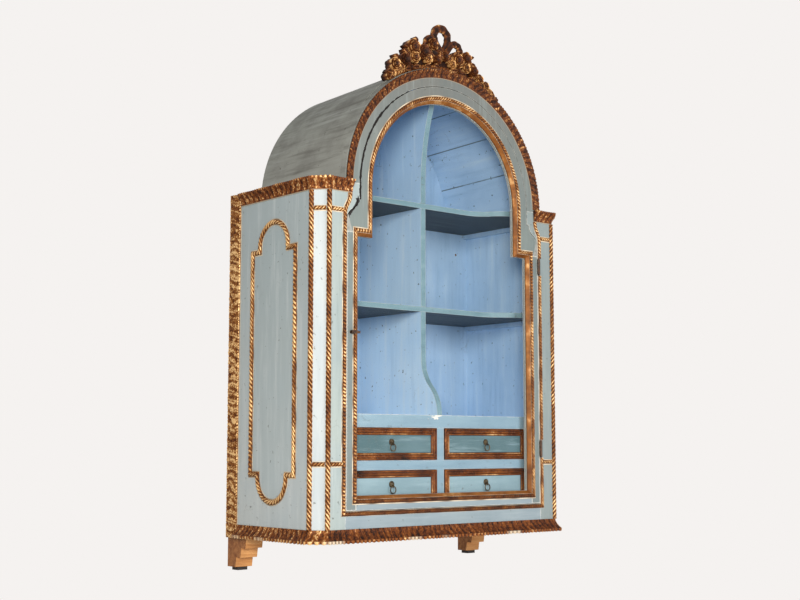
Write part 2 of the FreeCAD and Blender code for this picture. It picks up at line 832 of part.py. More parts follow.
def crest():
    """Carved crest: a band on the arch, a ribbon loop with two small bows and a garland of flowers."""
    foot = head_outer + fit_gap
    rim = foot + crest_band
    half_angle = math.degrees(crest_half_length / foot)
    low, high = 90.0 - half_angle, 90.0 + half_angle
    band_face = trace(
        polar(foot, low), polar(rim, low), (polar(rim, 90.0), polar(rim, high)),
        polar(foot, high), (polar(foot, 90.0), polar(foot, low)),
    )
    depth = crest_middle - front - crest_depth / 2
    band = slab(band_face, depth, depth + crest_depth)
    knot = polar(foot + crest_knot_lift, 90.0)
    pieces = [ribbon_loop((-crest_loop_lean, knot[1] + crest_loop_rise), crest_loop_radius, knot)]
    garlands = (
        (-1, crest_left_reaches, crest_left_lifts, crest_left_radii),
        (1, crest_right_reaches, crest_right_lifts, crest_right_radii),
    )
    for side, reaches, lifts, radii in garlands:
        bow = (side * crest_bow_reach, knot[1] + crest_bow_rise)
        pieces.append(ribbon_loop(bow, crest_bow_radius, knot))
        for reach, lift, radius in zip(reaches, lifts, radii):
            angle = math.degrees(reach / foot)
            pieces.append(flower(polar(foot + lift, 90.0 - side * angle), radius))
    pieces.append(flower(knot, crest_knot_radius))
    head = rod(foot, (0, front - body_depth, spring_height), (0, 0, spring_height))
    roof = rod(vault_outer + fit_gap, (0, -2 * body_depth, spring_height), (0, body_depth, spring_height))
    behind = box((-2 * foot, -roof_length, spring_height), (2 * foot, 0, spring_height + 2 * foot))
    for piece in pieces:
        band = band.fuse(piece)
    return band.cut(head).cut(tilted(roof).common(behind))


def polar(radius, angle):
    """Point on a circle about the arch's centre, seen from the front."""
    turn = math.radians(angle)
    return radius * math.cos(turn), spring_height + radius * math.sin(turn)


def hinge_sets():
    """Frame leaves, door leaves and pins of the two hinges."""
    frame_leaves, door_leaves, pins = [], [], []
    third = hinge_height / 3
    inset = knuckle_radius + knuckle_gap - knuckle_reach
    for height in hinge_heights:
        low = height - hinge_height / 2
        high = low + hinge_height
        first, second = low + third, high - third
        spans = [(low, first - knuckle_gap), (first, second), (second + knuckle_gap, high)]
        barrels = []
        for a, b in spans:
            barrels.append(bar(knuckle_radius, (hinge_x, hinge_y, a), (hinge_x, hinge_y, b), knuckle_sides))
        x = frame_half + leaf_seat
        frame_plate = box((x - leaf_thickness, front + inset, low), (x, front + leaf_width, high))
        arms = [box((x - leaf_thickness, hinge_y, a), (x, front + inset, b)) for a, b in (spans[0], spans[2])]
        bore = rod(pin_radius, (hinge_x, hinge_y, low), (hinge_x, hinge_y, high))
        frame_leaves.append(frame_plate.multiFuse(arms + [barrels[0], barrels[2]]).removeSplitter().cut(bore))
        x = door_half - leaf_seat
        door_plate = box((x, front + inset, low), (x + leaf_thickness, front + leaf_width, high))
        arm = box((x, hinge_y, spans[1][0]), (x + leaf_thickness, front + inset, spans[1][1]))
        bore = rod(pin_radius + pin_clearance, (hinge_x, hinge_y, low), (hinge_x, hinge_y, high))
        door_leaves.append(door_plate.multiFuse([arm, barrels[1]]).removeSplitter().cut(bore))
        pin = rod(pin_radius, (hinge_x, hinge_y, low), (hinge_x, hinge_y, high))
        for end, way in ((low, -1), (high, 1)):
            tip = (hinge_x, hinge_y, end + way * pin_head)
            pin = pin.fuse(bar(pin_head, (hinge_x, hinge_y, end), tip, 8))
        pins.append(pin)
    return frame_leaves, door_leaves, pins


def turn_catch():
    """Small iron lever on the door's free stile, its spindle, and the tongue behind the stile."""
    x, z = catch_x, catch_height
    rear = frame_back + tongue_gap
    spindle = rod(spindle_radius, (x, front - lever_height, z), (x, rear + tongue_thickness, z))
    boss = bar(boss_radius, (x, front - fit_gap, z), (x, front - lever_height, z), 12)
    w = boss_radius
    taper = w * 0.55
    end = x + lever_length
    heel = (x - w * 0.8, z + w * 0.5), (x - w * 0.8, z - w * 0.5)
    lever = trace((x, z - w), (end, z - taper), (end, z + taper), (x, z + w), *heel)
    lever.translate(V(0, 0, lever_height))
    plate = placed(lever.extrude(V(0, 0, lever_thickness)), front_plane)
    handle = spindle.multiFuse([boss, plate]).removeSplitter()
    half = tongue_width / 2
    tip = z + tongue_length
    heel = z - half
    face = trace((x - half, heel), (x + half, heel), (x + half, tip), (x - half, tip))
    tongue = slab(face, rear - front, rear - front + tongue_thickness)
    far = rear + tongue_thickness + cut_over
    return handle, tongue.cut(rod(spindle_radius, (x, rear - cut_over, z), (x, far, z)))


def door_head():
    """Shouldered arch of the door in one piece, standing on the two stiles."""
    low, ledge, neck = door_edge(0)
    first, second = ogee(low, ledge)

    def flip(point):
        return -point[0], point[1]

    z = spring_height
    back_first, back_second = ogee(flip(ledge), flip(low))
    face = trace(
        (sight_arch, shoulder_sight), (door_half, shoulder_sight), low, first, second, neck, (door_arch, z),
        ((0, z + door_arch), (-door_arch, z)), flip(neck), flip(ledge), back_first, back_second,
        (-door_half, shoulder_sight), (-sight_arch, shoulder_sight), (-sight_arch, z),
        ((0, z + sight_arch), (sight_arch, z)),
    )
    return slab(face, 0, door_thickness)


def door_stile():
    """Right door stile."""
    return box((sight_half, front, door_bottom), (door_half, door_back, shoulder_sight))


def reveal_profile():
    """Gilt slope from the door's face down to the glass."""
    w, d = reveal_width, reveal_depth
    return trace((0, 0), (0, -d), (w, -d), (w, reveal_nose - d), (reveal_edge, 0))


def glazing_profile():
    near = -reveal_depth - glass_thickness
    far = near - bead_depth
    return trace((0, near), (0, far), (reveal_width, far), (reveal_width, near))


def glass():
    corners = sight_path(glass_gap)
    arch = sight_arch - glass_gap
    face = trace(*corners, ((0, spring_height + arch), corners[0]))
    return slab(face, reveal_depth, reveal_depth + glass_thickness)


def drawer(name, side, low, height):
    """One drawer of the left (-1) or right (1) bay, between two heights."""
    inner, outer = muntin_width / 2 + drawer_gap, drawer_bay_end - drawer_gap
    x0, x1 = (inner, outer) if side > 0 else (-outer, -inner)
    z0, z1 = low + drawer_seat_gap, low + height - drawer_gap
    y0, y1 = drawer_front, drawer_rear
    rear = back_face - drawer_back_gap
    export(name + "_front", box((x0, y0, z0), (x1, y1, z1)))

    wall_top = z1 - box_lip
    left = box((x0, y1, z0), (x0 + box_board, rear, wall_top))
    right = box((x1 - box_board, y1, z0), (x1, rear, wall_top))
    back = box((x0 + box_board, rear - box_board, z0), (x1 - box_board, rear, wall_top))
    floor_low = z0 + box_bottom
    floor = box((x0 + box_board, y1, floor_low), (x1 - box_board, rear - box_board, floor_low + box_bottom))
    export(name + "_box", left, right, back, floor)

    plane = wall_plane(V(0, y0, 0), V(0, -1, 0))
    w, h = drawer_moulding_width, drawer_moulding_rise
    toe = drawer_moulding_toe
    profile = trace((0, 0), (w, 0), (w, toe), ((w * 0.6, h * 0.45), (w * 0.3, h)), (0, h))
    runs = polyline_runs(profile, [(x0, z0), (x1, z0), (x1, z1), (x0, z1)], closed=True)
    export(name + "_moulding", *[placed(run, plane) for run in runs])

    x, z = (x0 + x1) / 2, (z0 + z1) / 2
    hole_y = y0 - lug_reach + lug_height / 2
    rings = []
    for share, rise in rosette_steps:
        corners = ring_points((x, z + rosette_lift), rosette_radius * share, rosette_sides)
        rings.append([V(across, y0 - rise * rosette_rise, up) for across, up in corners])
    rosette = stacked(rings)
    half = lug_height / 2
    nose = ring_points((hole_y, z), half, 8, 90.0)[:5]
    lug = trace((y0, z - half), (y0, z + half), *nose)
    lug.translate(V(0, 0, x - lug_width / 2))
    lug = placed(lug.extrude(V(0, 0, lug_width)), section_plane)
    eye = (ring_wire + ring_gap) / math.cos(math.pi / 8)
    hole = bar(eye, (x - lug_width, hole_y, z), (x + lug_width, hole_y, z), 8)
    export(name + "_pull", rosette.fuse(lug).removeSplitter().cut(hole))
    section = trace(*ring_points((0, 0), ring_wire, 6))
    half_turn = 180.0 / ring_sides
    reach = ring_radius / math.cos(math.radians(half_turn))
    corners = ring_points((x, z - ring_radius), reach, ring_sides, half_turn)
    lengths = polyline_runs(section, corners, closed=True)
    ring = lengths[0].multiFuse(lengths[1:]).removeSplitter()
    export(name + "_ring", placed(ring, wall_plane(V(0, hole_y, 0), V(0, -1, 0))))


def bracket():
    """Left stepped bracket."""
    x = -half_width - bracket_spread
    top = -skirt_drop
    points = [(0, top)]
    for depth in bracket_tiers:
        points.append((-depth, top))
        top -= bracket_tier_height
        points.append((-depth + bracket_slope, top))
    points.append((0, top))
    face = trace(*points)
    face.translate(V(0, 0, x))
    return placed(face.extrude(V(0, 0, bracket_width)), section_plane)


def bracket_pad():
    width, depth, height = pad_size
    x = -half_width - bracket_spread + bracket_width / 2
    top = -skirt_drop - len(bracket_tiers) * bracket_tier_height
    y = -(bracket_tiers[-1] - bracket_slope) / 2
    return box((x - width / 2, y - depth / 2, top - height), (x + width / 2, y + depth / 2, top))


def main():
    os.makedirs("parts", exist_ok=True)
    frame_leaves, door_leaves, pins = hinge_sets()
    frame_seats = hinge_seat(frame_half, frame_half + leaf_seat)
    door_seats = hinge_seat(door_half - leaf_seat, door_half)

    export("side_panel_left", side_panel())
    export("side_panel_right", mirrored(side_panel()))
    low = (-inner_half, frame_back, drawer_floor - bottom_board)
    export("bottom_board", box(low, (inner_half, back_face, drawer_floor)))
    export("back_planks", *back_planks())
    export("corner_posts", corner_post(), mirrored(corner_post()))
    export("face_stile_right", face_stile(frame_seats))
    export("face_stile_left", mirrored(face_stile([])))
    export("face_bottom_rail", face_bottom_rail())
    export("face_arch_head", slab(arch_face(frame_arch, head_outer), 0, door_thickness))
    export("roof_staves", *staves())
    export("upper_shelf", upper_shelf())
    export("lower_shelf", lower_shelf())
    export("divider", divider())
    export("shelf_cleats", *shelf_cleats())
    low = (-inner_half, drawer_rear, floor_top - shelf_board)
    export("display_floor", box(low, (inner_half, back_face, floor_top)))
    export("drawer_face_frame", *drawer_face_frame())
    export("drawer_partitions", *drawer_partitions())
    export("drawer_runners", *drawer_runners())

    export("cornice", *cornice())
    export("arch_moulding", arch_moulding())
    export("base_moulding", *base_moulding())
    export("back_strips", back_strip(), mirrored(back_strip()))
    export("corner_ropes", *corner_ropes())
    ropes = side_panel_rope()
    export("side_panel_ropes", *ropes, *[mirrored(rope) for rope in ropes])
    export("opening_rope", *opening_rope())
    export("crest", crest())
    export("brackets", bracket(), mirrored(bracket()))
    export("bracket_pads", bracket_pad(), mirrored(bracket_pad()))

    bore_ends = [(catch_x, y, catch_height) for y in (front - cut_over, door_back + cut_over)]
    catch_bore = rod(spindle_radius + pin_clearance, *bore_ends)
    export("door_stile_left", mirrored(door_stile()).cut(catch_bore))
    export("door_stile_right", door_stile().cut(door_seats))
    export("door_bottom_rail", box((-sight_half, front, door_bottom), (sight_half, door_back, sight_bottom)))
    export("door_arch_head", door_head().cut(door_seats))
    export("door_rope", *sight_runs(bead_profile(-rope_radius)))
    export("door_reveal", *sight_runs(reveal_profile()))
    export("door_glass", glass())
    export("glazing_beads", *sight_runs(glazing_profile()))
    export("hinge_frame_leaves", *frame_leaves)
    export("hinge_door_leaves", *door_leaves)
    export("hinge_pins", *pins)
    handle, tongue = turn_catch()
    export("turn_catch", handle, tongue)

    rows = ((drawer_floor, drawer_row_height), (rail_top, drawer_top_row_height))
    for side, bay in ((-1, "left"), (1, "right")):
        for (low, height), row in zip(rows, ("lower", "upper")):
            drawer("drawer_" + row + "_" + bay, side, low, height)


main()
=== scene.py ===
import bpy
import bmesh
import math
import numpy as np
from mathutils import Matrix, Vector


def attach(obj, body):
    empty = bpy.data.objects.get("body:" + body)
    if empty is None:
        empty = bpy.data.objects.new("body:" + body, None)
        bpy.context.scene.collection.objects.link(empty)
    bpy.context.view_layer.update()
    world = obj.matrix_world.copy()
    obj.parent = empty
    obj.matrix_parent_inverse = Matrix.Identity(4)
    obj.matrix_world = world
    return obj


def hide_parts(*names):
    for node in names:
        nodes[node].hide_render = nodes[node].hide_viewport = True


# Painted and gilded wall cabinet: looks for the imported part. Sizes in mm here, metres in Blender.
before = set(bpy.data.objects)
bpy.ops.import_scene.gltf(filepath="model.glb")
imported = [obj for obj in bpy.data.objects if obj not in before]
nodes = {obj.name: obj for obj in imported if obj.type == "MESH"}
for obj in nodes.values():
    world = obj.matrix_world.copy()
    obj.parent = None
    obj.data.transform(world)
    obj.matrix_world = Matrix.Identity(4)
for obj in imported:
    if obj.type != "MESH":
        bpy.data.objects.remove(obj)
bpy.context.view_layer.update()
print("frame loaded:", len(nodes), "nodes")

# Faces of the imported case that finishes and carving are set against
sideX, frontY = 434, 382
cantX, cantY = 402, 350
innerX, plinthTop = 416.5, 41
panelMiddle, stripFront = 190, 38
archSpring, roofSlope = 868, 10 / 360


def linear(hexColour):
    parts = [int(hexColour[i:i + 2], 16) / 255 for i in (1, 3, 5)]
    return tuple(p / 12.92 if p <= 0.04045 else ((p + 0.055) / 1.055) ** 2.4 for p in parts) + (1.0,)


# Fills a node's sockets and properties. A node given as a value is linked by its first output in use.
def fill(tree, node, inputs):
    for key, value in inputs.items():
        if isinstance(value, bpy.types.Node):
            value = next(socket for socket in value.outputs if socket.enabled)
        if isinstance(value, bpy.types.NodeSocket):
            tree.links.new(value, node.inputs[key])
        elif isinstance(key, str) and hasattr(node, key):
            setattr(node, key, value)
        else:
            node.inputs[key].default_value = value


# Adds one node. A second word in kind is its operation or data type.
def addNode(tree, kind, inputs=None):
    kind, *mode = kind.split()
    node = tree.nodes.new("ShaderNode" + kind)
    if mode:
        setattr(node, "data_type" if kind == "Mix" else "operation", mode[0])
    fill(tree, node, inputs or {})
    return node


def newMaterial(name):
    material = bpy.data.materials.new(name)
    material.use_nodes = True
    tree = material.node_tree
    return material, tree, tree.nodes["Principled BSDF"]


# Camera, at the photograph's viewing angle
cameraLook = {"position": (-2340.7, -2921.0, 204.4), "yaw": 40.518, "pitch": 6.399, "lens": 58.44}


def addCamera():
    data = bpy.data.cameras.new("photoCamera")
    data.lens = cameraLook["lens"]
    data.sensor_width = 36
    data.sensor_fit = "HORIZONTAL"
    data.clip_end = 60
    camera = bpy.data.objects.new("photoCamera", data)
    camera.location = Vector(cameraLook["position"]) / 1000
    camera.rotation_euler = (math.radians(90 + cameraLook["pitch"]), 0, -math.radians(cameraLook["yaw"]))
    bpy.context.scene.collection.objects.link(camera)
    bpy.context.scene.camera = camera


# Soft studio light, pale surroundings and a pale floor
studioLook = {
    "surround": "#F5F2F0", "ambient": "#EEF1F5", "ambientLevel": 0.26, "lightsAimAt": (0, -250, 550),
    "key": {"at": (-2300, -3000, 980), "size": 1.1, "watts": 110, "colour": "#FFF9F0"},
    "fill": {"at": (500, -3600, 300), "size": 1.6, "watts": 62, "colour": "#F8F9FF"},
    "floorHeight": -1150, "floorReach": 4500, "floorColour": "#F0EDEA", "floorMottle": "#EAE7E2",
}


def addStudio():
    look = studioLook
    scene = bpy.context.scene
    scene.view_settings.view_transform = "Standard"
    world = bpy.data.worlds.new("studio")
    scene.world = world
    world.use_nodes = True
    tree = world.node_tree
    tree.nodes.clear()
    seen = addNode(tree, "LightPath").outputs
    shiny = addNode(tree, "Math MAXIMUM", {0: seen["Is Glossy Ray"], 1: seen["Is Transmission Ray"]})
    either = addNode(tree, "Math MAXIMUM", {0: seen["Is Camera Ray"], 1: shiny})
    soft = addNode(tree, "Background", {"Color": linear(look["ambient"]), "Strength": look["ambientLevel"]})
    pale = addNode(tree, "Background", {"Color": linear(look["surround"]), "Strength": 1.0})
    mix = addNode(tree, "MixShader", {0: either, 1: soft, 2: pale})
    addNode(tree, "OutputWorld", {"Surface": mix})
    for name in ("key", "fill"):
        light = look[name]
        data = bpy.data.lights.new(name + "Light", "AREA")
        data.size = light["size"]
        data.energy = light["watts"]
        data.color = linear(light["colour"])[:3]
        lamp = bpy.data.objects.new(name + "Light", data)
        lamp.location = Vector(light["at"]) / 1000
        aim = Vector(look["lightsAimAt"]) / 1000 - lamp.location
        lamp.rotation_euler = aim.to_track_quat("-Z", "Y").to_euler()
        scene.collection.objects.link(lamp)
    floorMaterial, tree, shader = newMaterial("floorPaper")
    mottle = addNode(tree, "TexNoise", {"Scale": 3.0, "Detail": 4.0})
    pale, dull = linear(look["floorColour"]), linear(look["floorMottle"])
    tone = addNode(tree, "Mix RGBA", {0: mottle, 6: pale, 7: dull})
    fill(tree, shader, {"Base Color": tone, "Roughness": 0.9})
    mesh = bpy.data.meshes.new("studioFloor")
    reach, level = look["floorReach"] / 1000, look["floorHeight"] / 1000
    corners = [(x * reach, y * reach, level) for x, y in ((-1, -1), (1, -1), (1, 1), (-1, 1))]
    mesh.from_pydata(corners, [], [(0, 1, 2, 3)])
    floor = bpy.data.objects.new("studioFloor", mesh)
    mesh.materials.append(floorMaterial)
    scene.collection.objects.link(floor)


addCamera()
addStudio()
print("camera and studio ready")


# The field inside the side panel's rope is a greener tone: a tall rectangle with a round lobe at each end.
def fieldTone(tree, place, tone, field):
    axes = addNode(tree, "SeparateXYZ", {0: place})
    low, high = field["foot"], field["head"]
    across = addNode(tree, "Math ADD", {0: axes.outputs[1], 1: field["middle"] / 1000})
    across = addNode(tree, "Math ABSOLUTE", {0: across})
    up = addNode(tree, "Math SUBTRACT", {0: axes.outputs[2], 1: (low + high) / 2000})
    up = addNode(tree, "Math ABSOLUTE", {0: up})
    inWide = addNode(tree, "Math LESS_THAN", {0: across, 1: field["half"] / 1000})
    inTall = addNode(tree, "Math LESS_THAN", {0: up, 1: field["tall"] / 1000})
    inBox = addNode(tree, "Math MULTIPLY", {0: inWide, 1: inTall})
    rise = addNode(tree, "Math SUBTRACT", {0: up, 1: (high - low) / 2000})
    rise = addNode(tree, "Math MAXIMUM", {0: rise, 1: 0.0})
    spot = addNode(tree, "CombineXYZ", {0: across, 1: rise})
    reach = addNode(tree, "VectorMath LENGTH", {0: spot})
    inLobe = addNode(tree, "Math LESS_THAN", {0: reach, 1: field["lobe"] / 1000})
    inside = addNode(tree, "Math MAXIMUM", {0: inBox, 1: inLobe})
    share = addNode(tree, "Math MULTIPLY", {0: inside, 1: field["level"]})
    return addNode(tree, "Mix RGBA", {0: share, 6: tone, 7: linear(field["colour"])})


# A tone that grows towards one end by height, in patches: painted shade on the divider and the drawers,
# elsewhere only darker or lighter towards one end.
def heightFadeTone(tree, place, tone, grime, cloud):
    up = addNode(tree, "SeparateXYZ", {0: place}).outputs[2]
    start, end = grime["from"] / 1000, grime["to"] / 1000
    grown = addNode(tree, "MapRange", {0: up, "From Min": start, "From Max": end, "To Max": grime["level"]})
    patchy = addNode(tree, "MapRange", {0: cloud, "From Min": 0.3, "From Max": 0.62, "To Min": 0.65})
    share = addNode(tree, "Math MULTIPLY", {0: grown, 1: patchy})
    return addNode(tree, "Mix RGBA", {0: share, 6: tone, 7: linear(grime["colour"])})


# Open joints between the staves show as dark lines, in patches.
def jointTone(tree, place, tone, joints, cloud):
    axes = addNode(tree, "SeparateXYZ", {0: place})
    up = addNode(tree, "Math MULTIPLY_ADD", {0: axes.outputs[1], 1: roofSlope, 2: axes.outputs[2]})
    up = addNode(tree, "Math SUBTRACT", {0: up, 1: archSpring / 1000})
    turn = addNode(tree, "Math ARCTAN2", {0: up, 1: axes.outputs[0]})
    turn = addNode(tree, "Math PINGPONG", {0: turn, 1: math.pi / joints["staves"] / 2})
    wide = joints["wide"] / joints["radius"]
    line = addNode(tree, "MapRange", {0: turn, "From Min": wide, "From Max": wide / 2, "To Max": 0.9})
    patch = addNode(tree, "MapRange", {0: cloud, "From Min": 0.38, "From Max": 0.5})
    share = addNode(tree, "Math MULTIPLY", {0: line, 1: patch})
    return addNode(tree, "Mix RGBA", {0: share, 6: tone, 7: linear(joints["colour"])})


# One place knocked down to the gesso.
def knockShare(tree, place, bare, knock, speck):
    middle = tuple(mm / 1000 for mm in knock["at"])
    spot = addNode(tree, "VectorMath SUBTRACT", {0: place, 1: middle})
    spot = addNode(tree, "VectorMath MULTIPLY", {0: spot, 1: knock["squash"]})
    away = addNode(tree, "VectorMath LENGTH", {0: spot})
    near = addNode(tree, "MapRange", {0: away, "From Min": knock["reach"] / 1000, "From Max": 0.0})
    hit = addNode(tree, "Math MULTIPLY", {0: near, 1: speck})
    hit = addNode(tree, "MapRange", {0: hit, "From Min": 0.36, "From Max": 0.4})
    return addNode(tree, "Math MAXIMUM", {0: bare, 1: hit})


# Painted shadow of the gap at the door's left shoulder and up the left of the arch, thinner towards the top.
def seamShadowTone(tree, place, tone, seam, speck):
    axes = addNode(tree, "SeparateXYZ", {0: place})
    x, z = axes.outputs[0], axes.outputs[2]
    (x0, z0), (x1, z1) = ((mm / 1000 for mm in end) for end in (seam["from"], seam["to"]))
    half = (z1 - z0) / 2
    curve = {"interpolation_type": "SMOOTHSTEP", "From Min": z0, "From Max": z1, "To Min": x0, "To Max": x1}
    line = addNode(tree, "MapRange", {0: z, **curve})
    away = addNode(tree, "Math SUBTRACT", {0: x, 1: line})
    away = addNode(tree, "Math ABSOLUTE", {0: away})
    above = addNode(tree, "Math SUBTRACT", {0: z, 1: (z0 + z1) / 2})
    above = addNode(tree, "Math ABSOLUTE", {0: above})
    # past its ends the line narrows to nothing
    past = addNode(tree, "MapRange", {0: above, "From Min": half, "From Max": half + 0.02, "To Max": 0.012})
    away = addNode(tree, "Math ADD", {0: away, 1: past})
    # round the arch it fades towards the top and stays above the shoulder
    rise = addNode(tree, "Math SUBTRACT", {0: z, 1: archSpring / 1000})
    rise = addNode(tree, "Math MAXIMUM", {0: rise, 1: 0.0})
    spot = addNode(tree, "CombineXYZ", {0: x, 1: rise})
    reach = addNode(tree, "VectorMath LENGTH", {0: spot})
    arch = addNode(tree, "Math SUBTRACT", {0: reach, 1: seam["arch"] / 1000})
    arch = addNode(tree, "Math ABSOLUTE", {0: arch})
    fade = addNode(tree, "MapRange", {0: x, "From Min": -0.24, "From Max": -0.02, "To Max": 0.009})
    arch = addNode(tree, "Math MULTIPLY_ADD", {0: arch, 1: 1.6, 2: fade})
    under = addNode(tree, "MapRange", {0: z, "From Min": z1, "From Max": z1 - 0.004, "To Max": 0.02})
    arch = addNode(tree, "Math ADD", {0: arch, 1: under})
    away = addNode(tree, "Math MINIMUM", {0: away, 1: arch})
    ragged = addNode(tree, "Math MULTIPLY", {0: speck, 1: 2 * seam["wide"] / 1000})
    share = addNode(tree, "Math LESS_THAN", {0: away, 1: ragged})
    return addNode(tree, "Mix RGBA", {0: share, 6: tone, 7: linear(seam["colour"])})


# Casein paint on gesso: brushed on by hand, so it dries matt with streaks along the stroke,
# cloudy patches, a few cracks and specks, and bare white gesso where edges were knocked.
def caseinCoat(tree, place, look):
    stroke = addNode(tree, "Mapping", {0: place, "Scale": tuple(1000 / mm for mm in look["strokeMm"])})
    streak = addNode(tree, "TexNoise", {0: stroke, "Scale": 1.0, "Detail": 6.0, "Roughness": 0.66})
    cloud = addNode(tree, "TexNoise", {0: place, "Scale": 1000 / look["cloudMm"], "Detail": 4.0,
                                       "Roughness": 0.6})
    share = addNode(tree, "MapRange", {0: cloud, "From Min": 0.36, "From Max": 0.66})
    tone = addNode(tree, "Mix RGBA", {0: share, 6: linear(look["colour"]), 7: linear(look["cloud"])})
    if look.get("field"):
        tone = fieldTone(tree, place, tone, look["field"])
    if look.get("grime"):
        tone = heightFadeTone(tree, place, tone, look["grime"], cloud)
    for low, high, key in ((0.52, 0.76, "streak"), (0.47, 0.25, "rub")):
        share = addNode(tree, "MapRange", {0: streak, "From Min": low, "From Max": high,
                                           "To Max": look["streakLevel"]})
        tone = addNode(tree, "Mix RGBA", {0: share, 6: tone, 7: linear(look[key])})
    # dark specks about 5 mm across, and cracks that show in patches only
    level = look["specks"]
    speck = addNode(tree, "TexNoise", {0: place, "Scale": 1000 / 11, "Detail": 2.0})
    specks = addNode(tree, "MapRange", {0: speck, "From Min": 0.69, "From Max": 0.76, "To Max": level})
    bend = addNode(tree, "VectorMath MULTIPLY_ADD", {0: speck.outputs["Color"], 1: (0.02,) * 3, 2: place})
    crack = addNode(tree, "TexVoronoi", {0: bend, "feature": "DISTANCE_TO_EDGE", "Scale": 1000 / 70})
    line = addNode(tree, "MapRange", {0: crack, "From Min": 0.022, "From Max": 0.008})
    patch = addNode(tree, "MapRange", {0: cloud, "From Min": 0.6, "From Max": 0.72, "To Max": 0.7 * level})
    cracks = addNode(tree, "Math MULTIPLY", {0: line, 1: patch})
    dark = addNode(tree, "Math MAXIMUM", {0: specks, 1: cracks})
    tone = addNode(tree, "Mix RGBA", {0: dark, 6: tone, 7: linear(look["speck"])})
    if look.get("joints"):
        tone = jointTone(tree, place, tone, look["joints"], cloud)
    # gesso along the arrises
    softened = addNode(tree, "Bevel", {"samples": 4, "Radius": look["edgeMm"] / 1000})
    flat = addNode(tree, "NewGeometry").outputs["Normal"]
    facing = addNode(tree, "VectorMath DOT_PRODUCT", {0: softened, 1: flat})
    edge = addNode(tree, "MapRange", {0: facing, "From Min": 0.995, "From Max": 0.86})
    chip = addNode(tree, "TexNoise", {0: place, "Scale": 1000 / 16, "Detail": 4.0, "Roughness": 0.7})
    low, high = look["chips"]
    chips = addNode(tree, "MapRange", {0: chip, "From Min": low, "From Max": high,
                                       "To Max": look["edgeLevel"]})
    bare = addNode(tree, "Math MULTIPLY", {0: edge, 1: chips})
    if look.get("knock"):
        bare = knockShare(tree, place, bare, look["knock"], speck)
    tone = addNode(tree, "Mix RGBA", {0: bare, 6: tone, 7: linear(look["gesso"])})
    if look.get("seam"):
        tone = seamShadowTone(tree, place, tone, look["seam"], speck)
    height = addNode(tree, "Math MULTIPLY_ADD", {0: cracks, 1: -0.6, 2: streak})
    return tone, height


# Planed pine: sawn and planed boards left bare, darkened with age, straight grain and grimy patches.
def pineCoat(tree, place, look):
    bend = addNode(tree, "TexNoise", {0: place, "Scale": 1000 / 300, "Detail": 2.0})
    shift = addNode(tree, "VectorMath MULTIPLY_ADD", {0: bend.outputs["Color"], 1: (0.03,) * 3, 2: place})
    along = addNode(tree, "Mapping", {0: shift, "Scale": tuple(1000 / mm for mm in look["grainMm"])})
    grain = addNode(tree, "TexNoise", {0: along, "Scale": 1.0, "Detail": 6.0, "Roughness": 0.6})
    share = addNode(tree, "MapRange", {0: grain, "From Min": 0.34, "From Max": 0.68})
    tone = addNode(tree, "Mix RGBA", {0: share, 6: linear(look["pale"]), 7: linear(look["dark"])})
    dirt = addNode(tree, "TexNoise", {0: place, "Scale": 1000 / 120, "Detail": 4.0})
    share = addNode(tree, "MapRange", {0: dirt, "From Min": 0.5, "From Max": 0.75, "To Max": 0.55})
    tone = addNode(tree, "Mix RGBA", {0: share, 6: tone, 7: linear(look["dirt"])})
    return tone, grain


# Where a coat lies: the faces that look a given way, within a radius about the sloping roof's axis,
# or within a distance from the middle plane, and only below a height if one is given.
def coverShare(tree, place, cover):
    axes = addNode(tree, "SeparateXYZ", {0: place})
    test = "GREATER_THAN" if cover.get("outside") else "LESS_THAN"
    limit = cover.get("limit", 0) / 1000
    if cover["by"] == "face":
        test, limit = "GREATER_THAN", 0.7
        normal = addNode(tree, "TexCoord").outputs["Normal"]
        reach = addNode(tree, "VectorMath DOT_PRODUCT", {0: normal, 1: cover["way"]})
        if cover.get("both"):
            reach = addNode(tree, "Math ABSOLUTE", {0: reach})
    elif cover["by"] == "radius":
        up = addNode(tree, "Math MULTIPLY_ADD", {0: axes.outputs[1], 1: cover["slope"], 2: axes.outputs[2]})
        spot = addNode(tree, "CombineXYZ", {0: axes.outputs[0], 1: up})
        middle = (0, archSpring / 1000, 0)
        reach = addNode(tree, "VectorMath DISTANCE", {0: spot, 1: middle})
    else:
        side = axes.outputs["XYZ".index(cover["by"])]
        reach = addNode(tree, "Math ABSOLUTE", {0: side})
    share = addNode(tree, "Math " + test, {0: reach, 1: limit})
    if "below" in cover:
        low = addNode(tree, "Math LESS_THAN", {0: axes.outputs[2], 1: cover["below"] / 1000})
        share = addNode(tree, "Math MULTIPLY", {0: share, 1: low})
    return share


# A first coat, then other coats over parts of it.
def finishWood(name, coat, look, layers=()):
    material, tree, shader = newMaterial(name)
    place = addNode(tree, "TexCoord").outputs["Object"]
    tone, height = coat(tree, place, look)
    for overCoat, overLook, cover in layers:
        share = coverShare(tree, place, cover)
        overTone, overHeight = overCoat(tree, place, overLook)
        tone = addNode(tree, "Mix RGBA", {0: share, 6: tone, 7: overTone})
        height = addNode(tree, "Mix FLOAT", {0: share, 2: height, 3: overHeight})
    rough = addNode(tree, "MapRange", {0: height, "To Min": look["rough"] - 0.1,
                                       "To Max": look["rough"] + 0.14})
    bump = addNode(tree, "Bump", {"Height": height, "Strength": 0.28, "Distance": 0.0012})
    fill(tree, shader, {"Base Color": tone, "Roughness": rough, "Normal": bump, "Specular IOR Level": 0.4})
    return material


# Gold leaf over red-brown bole on carved limewood: bright where the high parts were burnished,
# dull brown in the hollows, gesso white where the leaf is gone.
giltLook = {
    "hollow": "#1E0C05", "bole": "#5C3114", "leaf": "#8C5724", "bright": "#E6BD84", "gesso": "#E0D1B6",
    "stops": (0.08, 0.40, 0.74, 0.98), "mottleMm": 7.0, "wornMm": 30.0, "stir": 0.9, "rough": 0.46,
    "metal": 0.35,
}


